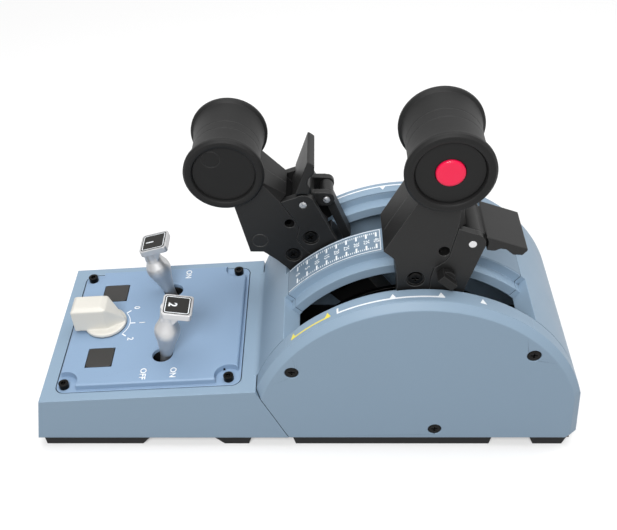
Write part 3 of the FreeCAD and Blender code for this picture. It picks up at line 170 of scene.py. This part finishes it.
def moulded(name, color, rough, grain=0.12, spread=0.06, pitch=2600, edge=0.5, edge_highlight=0,
            crevice_shade_reach=0, **constants):
    """Moulded plastic: spark texture and faint clouds; edges may carry a painted highlight and crevices
    painted shade.
    """
    finish = Finish(name, color, rough, **constants)
    cloud = finish.noise(CLOUD_SCALE, 4)
    speck = finish.noise(pitch, 2)
    tone = finish.mix(cloud * 0.7 + speck * 0.3, shade(color, 1 - spread), shade(color, 1 + spread))
    # Painted highlight: edges are paler in colour, standing in for the light that rounded edges catch.
    if edge_highlight:
        tone = finish.mix(edge_mask(finish, HIGHLIGHT_EDGE_WIDTH * MM), tone, shade(color, edge_highlight))
    # Painted shade: ambient occlusion darkens crevices and the gaps between parts.
    if crevice_shade_reach:
        open_sky = finish.add("ShaderNodeAmbientOcclusion", {"samples": 8}, out="AO", Distance=crevice_shade_reach * MM)
        tone = finish.mix(finish.spread(open_sky, 0.12, 0.62, 0.0, 1.0), shade(color, CREVICE_SHADE), tone)
    finish.color(tone)
    finish.rough(finish.spread(cloud, 0.3, 0.7, rough - 0.04, rough + 0.05))
    return finish.bump(speck + 0.3 * finish.noise(pitch / 6, 2), grain, GRAIN_DEPTH, edge * MM).material


def metal(name, color, rough, scratch=0.1, **constants):
    """Turned metal: fine lay lines and small scratches."""
    finish = Finish(name, color, rough, Metallic=1.0, **constants)
    lay = finish.noise(900, 5, 0.7)
    finish.rough(finish.spread(lay, 0.3, 0.7, rough - 0.06, rough + 0.08))
    finish.color(finish.mix(lay, shade(color, 0.92), shade(color, 1.05)))
    return finish.bump(lay, scratch, 0.00002, 0.3 * MM).material


CASE_BLUE = (0.246, 0.338, 0.436)
# Some finishes paint a highlight on their edges and paint shade into their crevices.
LOOKS = {
    "case": moulded("case_blue", CASE_BLUE, 0.44, 0.08, 0.03, edge_highlight=1.25, crevice_shade_reach=1.6,
                    Specular_IOR_Level=0.28),
    "panel": moulded("panel_blue", (0.232, 0.335, 0.478), 0.42, 0.08, 0.03, edge_highlight=1.25, crevice_shade_reach=1.6,
                     Specular_IOR_Level=0.30),
    "scale": moulded("scale_grey_blue", (0.165, 0.235, 0.310), 0.40, 0.06, 0.03, Specular_IOR_Level=0.30),
    "arm": moulded("arm_black", (0.0085, 0.0085, 0.0085), 0.44, 0.5, 0.12, 1500, edge_highlight=8.0,
                   Specular_IOR_Level=0.30),
    "grip": moulded("handle_black", (0.011, 0.011, 0.011), 0.50, 0.10, 0.08, edge_highlight=4.0,
                    Specular_IOR_Level=0.18),
    "black": moulded("matt_black", (0.005, 0.005, 0.0055), 0.6, 0.25, 0.1, Specular_IOR_Level=0.3),
    "key": moulded("key_black", (0.022, 0.021, 0.0195), 0.42, 0.1, 0.08, Specular_IOR_Level=0.4),
    "rubber": moulded("pad_rubber", (0.010, 0.010, 0.010), 0.8, 0.4, 0.1, Specular_IOR_Level=0.3),
    "cream": moulded("knob_cream", (0.66, 0.64, 0.585), 0.40, 0.06, 0.02, edge=0.9, crevice_shade_reach=1.2),
    "red": moulded("button_red", (0.90, 0.006, 0.070), 0.30, 0.05, 0.03, edge=1.6, Coat_Weight=0.3,
                   Specular_IOR_Level=0.25),
    "nylon": moulded("natural_nylon", (0.62, 0.61, 0.57), 0.5),
    "board": moulded("board_green", (0.012, 0.10, 0.04), 0.4),
    "steel": metal("bright_steel", (0.62, 0.62, 0.63), 0.28),
    "dark_steel": metal("blackened_steel", (0.016, 0.0155, 0.015), 0.34),
    "satin": metal("satin_metal", (0.56, 0.56, 0.565), 0.44, 0.2),
}
WHITE_INK = moulded("white_ink", (0.84, 0.87, 0.90), 0.5, 0.03, 0.02, edge=0)
YELLOW_INK = moulded("yellow_ink", (0.80, 0.70, 0.10), 0.5, 0.03, 0.02, edge=0)
PLATE_INK = moulded("plate_black", (0.018, 0.017, 0.016), 0.5, 0.05, 0.05, edge=0,
                    Specular_IOR_Level=0.2)

# Which finish each frame node takes, by the words in its name; the first match counts.
FINISH_OF = [
    ("engine_panel", "panel"), ("scale_band", "scale"), ("base_plate", "black"),
    ("rubber_feet", "rubber"), ("usb_socket", "steel"), ("main_board", "board"),
    ("sensor_boards", "board"), ("axle_spacers", "nylon"), ("selector_knob", "cream"),
    ("selector_body", "black"), ("toggle_cases", "black"), ("key_", "key"), ("toggle_", "satin"),
    ("panel_screws", "dark_steel"), ("base_screws", "dark_steel"), ("side_screws", "dark_steel"),
    ("centre_post", "black"), ("pivot_blocks", "black"), ("detent_plates", "dark_steel"), ("axle", "steel"),
    ("tension_knob", "grip"), ("arm_fasteners", "dark_steel"), ("link_pin", "steel"),
    ("hub_magnet", "steel"), ("detent_plunger", "steel"), ("disconnect_button", "red"),
    ("grip", "grip"), ("cap_", "grip"),
    ("arm_shell", "arm"), ("bracket", "arm"), ("core", "arm"), ("latch", "arm"),
]


def look_of(node):
    for word, look in FINISH_OF:
        if word in node:
            return LOOKS[look]
    return LOOKS["case"]


# Width in millimetres of each node's rounded edges, by the words in its name; the first match counts.
EDGE_OF = [("side_panel", 0.5), ("rear_housing", 0.8), ("front_cover", 0.5), ("centre_arch", 0.5),
           ("engine_panel", 0.35), ("base_plate", 0.3), ("arm_shell", 0.7), ("bracket", 0.6),
           ("latch_rod", 0.4), ("latch", 0.5), ("core", 0.4), ("selector_knob", 0.7), ("key_", 0.25),
           ("cap_", 0.3), ("grip", 0.25), ("tension_knob", 0.3)]
# Width for all other nodes, and the angle in degrees from which an edge is rounded.
PLAIN_EDGE = 0.15
SHARP_ANGLE = 28


def weld(obj):
    """Joins the corners that neighbouring faces share, so that edges can be rounded."""
    modifier = obj.modifiers.new("weld", "WELD")
    modifier.merge_threshold = 0.000001


def soften_edges(node, width):
    """Rounds the hard edges of a frame node a little, as a mould would."""
    obj = NODES[node]
    weld(obj)
    bevel = obj.modifiers.new("soft_edges", "BEVEL")
    bevel.width = width * MM
    bevel.segments = 3
    bevel.limit_method = "ANGLE"
    bevel.angle_limit = math.radians(SHARP_ANGLE)
    smooth = obj.modifiers.new("even_normals", "WEIGHTED_NORMAL")
    smooth.keep_sharp = True


def round_off(node, grain, passes):
    """Rounds a small moulded piece all over."""
    obj = NODES[node]
    obj.modifiers.clear()
    weld(obj)
    skin = obj.modifiers.new("skin", "REMESH")
    skin.mode = "VOXEL"
    skin.voxel_size = grain * MM
    skin.use_smooth_shade = True
    smooth = obj.modifiers.new("rounding", "SMOOTH")
    smooth.factor = 0.5
    smooth.iterations = passes


def dress_frame():
    """Gives every frame node its finish and its softened edges."""
    bpy.ops.object.select_all(action="DESELECT")
    for name, obj in NODES.items():
        obj.data.materials.clear()
        obj.data.materials.append(look_of(name))
        for face in obj.data.polygons:
            face.use_smooth = True
            face.material_index = 0
        width = next((width for word, width in EDGE_OF if word in name), PLAIN_EDGE)
        soften_edges(name, width)


# Millimetres around the latch's axis that hold its hinge pin.
PIN_REACH = 4.2


def brighten_pins(side):
    """The latch's hinge pin is bright steel, and the screws of the arm are black."""
    obj = NODES[side + "_arm_fasteners"]
    pin = Vector(JOINTS[side + "_latch_pivot"]["pos_m"])
    obj.data.materials.append(LOOKS["steel"])
    for face in obj.data.polygons:
        reach = face.center - pin
        if math.hypot(reach.x, reach.z) < PIN_REACH * MM:
            face.material_index = 1


# ---- flat artwork ----

def select_only(*pieces):
    bpy.ops.object.select_all(action="DESELECT")
    for piece in pieces:
        piece.select_set(True)
    bpy.context.view_layer.objects.active = pieces[0]


def settle(piece):
    """Moves an object's place, turn and size into its mesh."""
    select_only(piece)
    bpy.ops.object.transform_apply(location=True, rotation=True, scale=True)
    return piece


def bar(along, across, length, width, cells=1):
    """Flat strip in millimetres, with enough cells to follow a curve."""
    bpy.ops.object.select_all(action="DESELECT")
    bpy.ops.mesh.primitive_grid_add(x_subdivisions=cells, y_subdivisions=1, size=MM,
                                    location=(along * MM, across * MM, 0))
    piece = bpy.context.object
    piece.scale = (length, width, 1)
    return settle(piece)


def arrowhead(along, base, width, height, side):
    """Triangle whose foot lies on the line at base and whose tip points to the middle."""
    bpy.ops.object.select_all(action="DESELECT")
    bpy.ops.mesh.primitive_circle_add(vertices=3, radius=MM, fill_type="NGON",
                                      location=(along * MM, (base + side * height / 3) * MM, 0))
    piece = bpy.context.object
    piece.rotation_euler.z = 0 if side > 0 else math.pi
    piece.scale = (width / math.sqrt(3), height / 1.5, 1)
    return settle(piece)


# Height of a capital as a share of the font's size.
CAPITAL_SHARE = 0.7


def label(words, along, across, height, weight=0.02, squeeze=1.0):
    """Flat lettering whose top points forward, so that it reads from behind."""
    bpy.ops.object.select_all(action="DESELECT")
    bpy.ops.object.text_add(location=(along * MM, across * MM, 0), rotation=(0, 0, -math.pi / 2))
    text = bpy.context.object
    text.data.body = words
    text.data.align_x = "CENTER"
    text.data.align_y = "CENTER"
    text.data.offset = weight
    text.data.resolution_u = 5
    select_only(text)
    bpy.ops.object.convert(target="MESH")
    piece = bpy.context.object
    size = height * MM / CAPITAL_SHARE
    piece.scale = (size * squeeze, size, 1)
    return settle(piece)


def joined(name, pieces):
    """Joins flat pieces into one named object."""
    select_only(*pieces)
    bpy.ops.object.join()
    piece = bpy.context.object
    piece.name = name
    return piece


INK_THICK = 0.04


def printed(piece, ink, body):
    """Gives artwork the thickness of a print and fixes it to its body."""
    select_only(piece)
    film = piece.modifiers.new("film", "SOLIDIFY")
    film.thickness = INK_THICK * MM
    film.offset = 1
    bpy.ops.object.modifier_apply(modifier=film.name)
    bpy.ops.object.mode_set(mode="EDIT")
    bpy.ops.mesh.select_all(action="SELECT")
    bpy.ops.mesh.normals_make_consistent(inside=False)
    bpy.ops.object.mode_set(mode="OBJECT")
    piece.data.materials.clear()
    piece.data.materials.append(ink)
    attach(piece, body)
    return piece



# ---- marks on the drum ----

AXLE = Vector((JOINTS["right_lever_pivot"]["pos_m"][0], 0, JOINTS["right_lever_pivot"]["pos_m"][2]))
DRUM_RADIUS = (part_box("mark_strips")[1].z - AXLE.z) / MM
RING_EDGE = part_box("scale_band")[1].y / MM
STRIP_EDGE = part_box("mark_strips")[1].y / MM
# Arc length of one degree on the drum, and how far a print stands off its surface, in millimetres.
PER_DEGREE = math.radians(DRUM_RADIUS)
LIFT = 0.012


def wrapped(piece):
    """Rolls flat artwork onto the drum; its X runs forward along the rim from the top."""
    for vertex in piece.data.vertices:
        turn = vertex.co.x / (DRUM_RADIUS * MM)
        reach = (DRUM_RADIUS + LIFT) * MM
        vertex.co = AXLE + Vector((reach * math.sin(turn), vertex.co.y, reach * math.cos(turn)))
    return piece


def rim_line(start, end, across, width):
    """Strip along the rim between two angles in degrees."""
    length = (end - start) * PER_DEGREE
    cells = max(2, round((end - start) / 1.2))
    return bar((start + end) / 2 * PER_DEGREE, across, length, width, cells)


# First tick and step between ticks, in millimetres forward of the axle; numbered and fine ticks.
SCALE_START, SCALE_PITCH = -51.1, 4.22
SCALE_COUNT, FINE_COUNT = 9, 4
# Each tick's size along and across the drum, and how far its middle stands in from the ring's edge.
TICK, TICK_INSET = (0.8, 3.0), 3.3
FINE_TICK, FINE_INSET = (0.28, 1.1), 2.35
BORDER_INSET, BORDER_WIDTH = 0.35, 0.34
NUMBER_HEIGHT, NUMBER_SQUEEZE = 2.5, 0.82


def scale_place(count):
    """Arc length of a tick; ticks stand equally far apart as seen from straight above."""
    return DRUM_RADIUS * math.asin((SCALE_START + SCALE_PITCH * count) / DRUM_RADIUS)


def ring_scale():
    """White border, ticks on both edges and plain numbers between them."""
    first, last = scale_place(0) / PER_DEGREE, scale_place(SCALE_COUNT - 1) / PER_DEGREE
    art = [bar((last + 1.35) * PER_DEGREE, 0, 0.3, 2 * RING_EDGE - 0.55)]
    for side in (-1, 1):
        art.append(rim_line(first - 4.2, last + 1.47, side * (RING_EDGE - BORDER_INSET), BORDER_WIDTH))
        for count in range(SCALE_COUNT):
            art.append(bar(scale_place(count), side * (RING_EDGE - TICK_INSET), *TICK))
        for count in range(SCALE_COUNT - 1):
            for part in range(1, FINE_COUNT + 1):
                place = scale_place(count + part / (FINE_COUNT + 1))
                art.append(bar(place, side * (RING_EDGE - FINE_INSET), *FINE_TICK))
    for count in range(SCALE_COUNT):
        art.append(label(str(5 * count), scale_place(count), 0, NUMBER_HEIGHT, 0.0, NUMBER_SQUEEZE))
    printed(wrapped(joined("scale_numbers", art)), WHITE_INK, "base")


# Line's distance from the strip's edge and its width, and an arrowhead's height and width.
MARK_LINE, LINE_WIDTH = 2.5, 0.75
MARK_HEIGHT, MARK_WIDTH = 2.7, 2.9
# Degrees forward of the drum's top.
REVERSE_LINE, REVERSE_HEADS = (-47.4, -31.2), (-46.6, -32.2)
FORWARD_LINE, FORWARD_FOOT, FORWARD_HEADS = (-28.8, 6.2), -28.5, (-10.1, 5.1, 18.9)


def strip_marks(side, name):
    """Yellow arrow for reverse and white bracket for the forward range, on one rim strip."""
    inward = -side
    line = side * (STRIP_EDGE - MARK_LINE)
    yellow = [rim_line(*REVERSE_LINE, line, LINE_WIDTH)]
    for angle in REVERSE_HEADS:
        yellow.append(arrowhead(angle * PER_DEGREE, line, MARK_WIDTH, MARK_HEIGHT, inward))
    white = [rim_line(*FORWARD_LINE, line, LINE_WIDTH)]
    white.append(bar(FORWARD_FOOT * PER_DEGREE, line + inward * 1.5, 0.8, 2.4))
    for angle in FORWARD_HEADS:
        white.append(arrowhead(angle * PER_DEGREE, line, MARK_WIDTH, MARK_HEIGHT, inward))
    printed(wrapped(joined(name + "_reverse_mark", yellow)), YELLOW_INK, "base")
    printed(wrapped(joined(name + "_forward_mark", white)), WHITE_INK, "base")


# ---- marks on the engine panel and the toggles ----

ACROSS = Vector((0, 1, 0))
DECK_UP = Vector(JOINTS["selector_turn"]["axis"])


def standing(origin, up):
    """Frame at origin whose Z is up and whose Y runs to the left."""
    forward = ACROSS.cross(up)
    turn = Matrix((forward, ACROSS, up)).transposed().to_4x4()
    return Matrix.Translation(origin) @ turn


def deck_frame():
    """Frame on top of the engine panel, at its middle."""
    low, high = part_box("engine_panel")
    top = max(vertex.co.dot(DECK_UP) for vertex in NODES["engine_panel"].data.vertices)
    x = (low.x + high.x) / 2
    return standing(Vector((x, 0, (top - x * DECK_UP.x) / DECK_UP.z)) + DECK_UP * LIFT * MM, DECK_UP)


DECK = deck_frame()


def deck_x(joint):
    """How far forward of the panel's middle a joint stands, in millimetres."""
    return (DECK.inverted() @ Vector(JOINTS[joint]["pos_m"])).x / MM


# Millimetres on the panel: letters, words from a toggle's pivot, and radii and strokes of the dial.
LETTER_HEIGHT, LETTER_WEIGHT = 2.7, 0.02
ON_AHEAD, OFF_BEHIND, WORD_OUTBOARD = 5.9, 7.2, 11.4
DIAL_NUMBERS, DIAL_TICKS, DIAL_ARC = 16.4, 12.2, 10.9
DIAL_TICK, DIAL_STROKE = (2.4, 0.6), (0.3, 0.78)
DIAL_HALF, DIAL_STEP = 38, 4


def deck_marks():
    """ON and OFF beside the toggles, and three numbered positions for the selector."""
    toggle_x, selector_x = deck_x("right_toggle_pivot"), deck_x("selector_turn")
    outboard = abs(JOINTS["right_toggle_pivot"]["pos_m"][1]) / MM + WORD_OUTBOARD
    art = []
    for side in (-1, 1):
        art.append(label("ON", toggle_x + ON_AHEAD, side * outboard, LETTER_HEIGHT, LETTER_WEIGHT))
        art.append(label("OFF", toggle_x - OFF_BEHIND, side * outboard, LETTER_HEIGHT, LETTER_WEIGHT))
    for number, angle in enumerate((40, 0, -40)):
        turn = math.radians(angle)
        reach = Vector((math.cos(turn), math.sin(turn)))
        spot = reach * DIAL_NUMBERS
        art.append(label(str(number), selector_x + spot.x, spot.y, LETTER_HEIGHT, LETTER_WEIGHT))
        tick = bar(DIAL_TICKS, 0, *DIAL_TICK)
        tick.rotation_euler.z = turn
        tick.location.x = selector_x * MM
        art.append(settle(tick))
    for start in range(-DIAL_HALF, DIAL_HALF, DIAL_STEP):
        turn = math.radians(start + DIAL_STEP / 2)
        piece = bar(DIAL_ARC, 0, *DIAL_STROKE)
        piece.rotation_euler.z = turn
        piece.location.x = selector_x * MM
        art.append(settle(piece))
    piece = joined("panel_marks", art)
    piece.data.transform(DECK)
    printed(piece, WHITE_INK, "base")


def plate_frame(node):
    """Frame on top of a toggle's head plate."""
    pivot = Vector(JOINTS[node.split("_")[1] + "_toggle_pivot"]["pos_m"])
    top = [face for face in NODES[node].data.polygons
           if (face.center - pivot).length > 30 * MM and face.normal.z > 0.5]
    area = sum(face.area for face in top)
    up = sum((face.normal * face.area for face in top), Vector()).normalized()
    centre = sum((face.center * face.area for face in top), Vector()) / area
    height = max(face.center.dot(up) for face in top)
    return standing(centre + up * (height - centre.dot(up) + LIFT * MM), up)


def rounded_plate(side, corner):
    """Flat square with rounded corners."""
    piece = bar(0, 0, side, side)
    select_only(piece)
    bpy.ops.object.mode_set(mode="EDIT")
    bpy.ops.mesh.select_all(action="SELECT")
    bpy.ops.mesh.bevel(offset=corner * MM, segments=5, affect="VERTICES")
    bpy.ops.object.mode_set(mode="OBJECT")
    return piece


def outlined(piece, width):
    """Keeps only a band along the edge of a flat piece."""
    select_only(piece)
    bpy.ops.object.mode_set(mode="EDIT")
    bpy.ops.mesh.select_all(action="SELECT")
    bpy.ops.mesh.inset(thickness=width * MM, depth=0)
    bpy.ops.mesh.delete(type="FACE")
    bpy.ops.object.mode_set(mode="OBJECT")
    return piece


# Side and corner radius of the inlay and of the border on it, and the border's width.
INLAY, BORDER, BORDER_BAND = (11.2, 1.2), (10.3, 1.0), 0.34


def head_plate(side, number):
    """Dark inlay with a pale border and one numeral on a toggle's head."""
    body = side + "_toggle_body"
    place = plate_frame("toggle_" + side)
    inlay = rounded_plate(*INLAY)
    inlay.name = side + "_plate_inlay"
    inlay.data.transform(place)
    printed(inlay, PLATE_INK, body)
    border = outlined(rounded_plate(*BORDER), BORDER_BAND)
    pale = joined(side + "_plate_marks", [border, label(number, -2.1, 0, 3.5, 0.03)])
    pale.data.transform(place @ Matrix.Translation((0, 0, 0.035 * MM)))
    printed(pale, WHITE_INK, body)


# ---- stage ----

# How strongly the world lights, and how pale the floor is to the eye and to the light it throws back.
AMBIENT, FLOOR_SEEN, FLOOR_BOUNCE = 0.22, 0.97, 0.32
# Metres from the origin between which the floor turns white, and its share of white at each.
FLOOR_FADE = (("From Min", 0.25), ("From Max", 0.80), ("To Min", 0.30), ("To Max", 1.0))
# Name, place and target in metres, size in metres, and watts.
LAMPS = [
    ("key_soft", (-0.12, -0.78, 0.85), (0, 0, 0.05), (0.5, 0.4), 10.2),
    ("top_soft", (0.05, 0.10, 0.9), (0, 0, 0.05), (0.9, 0.7), 5.8),
    ("nose_soft", (0.8, 0.3, 0.5), (0, 0, 0.06), (0.5, 0.4), 1.2),
]
# The camera's place in millimetres, its heading, tilt and roll in degrees, and its lens.
CAMERA_PLACE = (5.2, -324.5, 330.4)
HEADING, TILT, ROLL = 0.745, 51.01, -0.56
LENS = 55.98


def seen_ray(tree):
    """1 on what the camera sees, straight or in a reflection."""
    path = tree.nodes.new("ShaderNodeLightPath")
    seen = path.outputs["Is Camera Ray"]
    for ray in ("Is Glossy Ray", "Is Transmission Ray"):
        either = tree.nodes.new("ShaderNodeMath")
        either.operation = "MAXIMUM"
        tree.links.new(seen, either.inputs[0])
        tree.links.new(path.outputs[ray], either.inputs[1])
        seen = either.outputs[0]
    return seen


def stage():
    """Pale floor that keeps the object's shadow and fades into the white background."""
    bpy.ops.object.select_all(action="DESELECT")
    bpy.ops.mesh.primitive_plane_add(size=12, location=(0, 0, 0))
    floor = bpy.context.object
    floor.name = "floor"
    material = bpy.data.materials.new("pale_floor")
    material.use_nodes = True
    tree = material.node_tree
    tree.nodes.clear()

    def add(kind, **settings):
        node = tree.nodes.new(kind)
        for key, value in settings.items():
            setattr(node, key, value)
        return node

    def blend(amount, low, high):
        mixed = add("ShaderNodeMixShader")
        for socket, source in zip(mixed.inputs, (amount, low, high)):
            tree.links.new(source, socket)
        return mixed.outputs[0]

    def matt(pale):
        shader = add("ShaderNodeBsdfDiffuse")
        shader.inputs["Color"].default_value = (pale, pale, pale, 1)
        return shader.outputs[0]

    place = add("ShaderNodeTexCoord")
    distance = add("ShaderNodeVectorMath", operation="LENGTH")
    tree.links.new(place.outputs["Object"], distance.inputs[0])
    fade = add("ShaderNodeMapRange")
    tree.links.new(distance.outputs["Value"], fade.inputs["Value"])
    for socket, value in FLOOR_FADE:
        fade.inputs[socket].default_value = value
    white = add("ShaderNodeEmission")
    seen = blend(fade.outputs[0], matt(FLOOR_SEEN), white.outputs[0])
    output = add("ShaderNodeOutputMaterial")
    tree.links.new(blend(seen_ray(tree), matt(FLOOR_BOUNCE), seen), output.inputs[0])
    floor.data.materials.append(material)


def light(name, place, target, size, power):
    """Soft box that faces its target."""
    lamp = bpy.data.lights.new(name, "AREA")
    lamp.shape = "RECTANGLE"
    lamp.size, lamp.size_y = size
    lamp.energy = power
    obj = bpy.data.objects.new(name, lamp)
    bpy.context.scene.collection.objects.link(obj)
    obj.location = place
    obj.rotation_euler = (Vector(target) - Vector(place)).to_track_quat("-Z", "Y").to_euler()


def world():
    """White where it is seen straight or in a reflection, dimmer where it lights."""
    scene = bpy.context.scene
    scene.world = scene.world or bpy.data.worlds.new("studio")
    scene.world.use_nodes = True
    tree = scene.world.node_tree
    back = tree.nodes["Background"]
    strength = tree.nodes.new("ShaderNodeMath")
    strength.operation = "MULTIPLY_ADD"
    tree.links.new(seen_ray(tree), strength.inputs[0])
    strength.inputs[1].default_value = 1 - AMBIENT
    strength.inputs[2].default_value = AMBIENT
    tree.links.new(strength.outputs[0], back.inputs["Strength"])
    back.inputs["Color"].default_value = (1, 1, 1, 1)


def camera():
    """Camera that looks down on the side of the object."""
    data = bpy.data.cameras.new("camera")
    data.lens = LENS
    data.sensor_width = 36
    data.sensor_fit = "HORIZONTAL"
    obj = bpy.data.objects.new("camera", data)
    bpy.context.scene.collection.objects.link(obj)
    turn = Matrix.Rotation(math.radians(HEADING), 4, "Z") @ Matrix.Rotation(math.radians(TILT), 4, "X")
    obj.matrix_world = (Matrix.Translation(Vector(CAMERA_PLACE) * MM) @ turn
                        @ Matrix.Rotation(math.radians(ROLL), 4, "Z"))
    bpy.context.scene.camera = obj


# ---- the scene, in order ----

ring_scale()
strip_marks(-1, "right")
strip_marks(1, "left")
deck_marks()
head_plate("right", "2")
head_plate("left", "1")

dress_frame()
round_off("selector_knob", 0.22, 14)
round_off("right_latch", 0.25, 7)
round_off("left_latch", 0.25, 7)
for side in ("right", "left"):
    brighten_pins(side)

stage()
for lamp in LAMPS:
    light(*lamp)
world()
camera()
scene = bpy.context.scene
scene.view_settings.view_transform = "Standard"
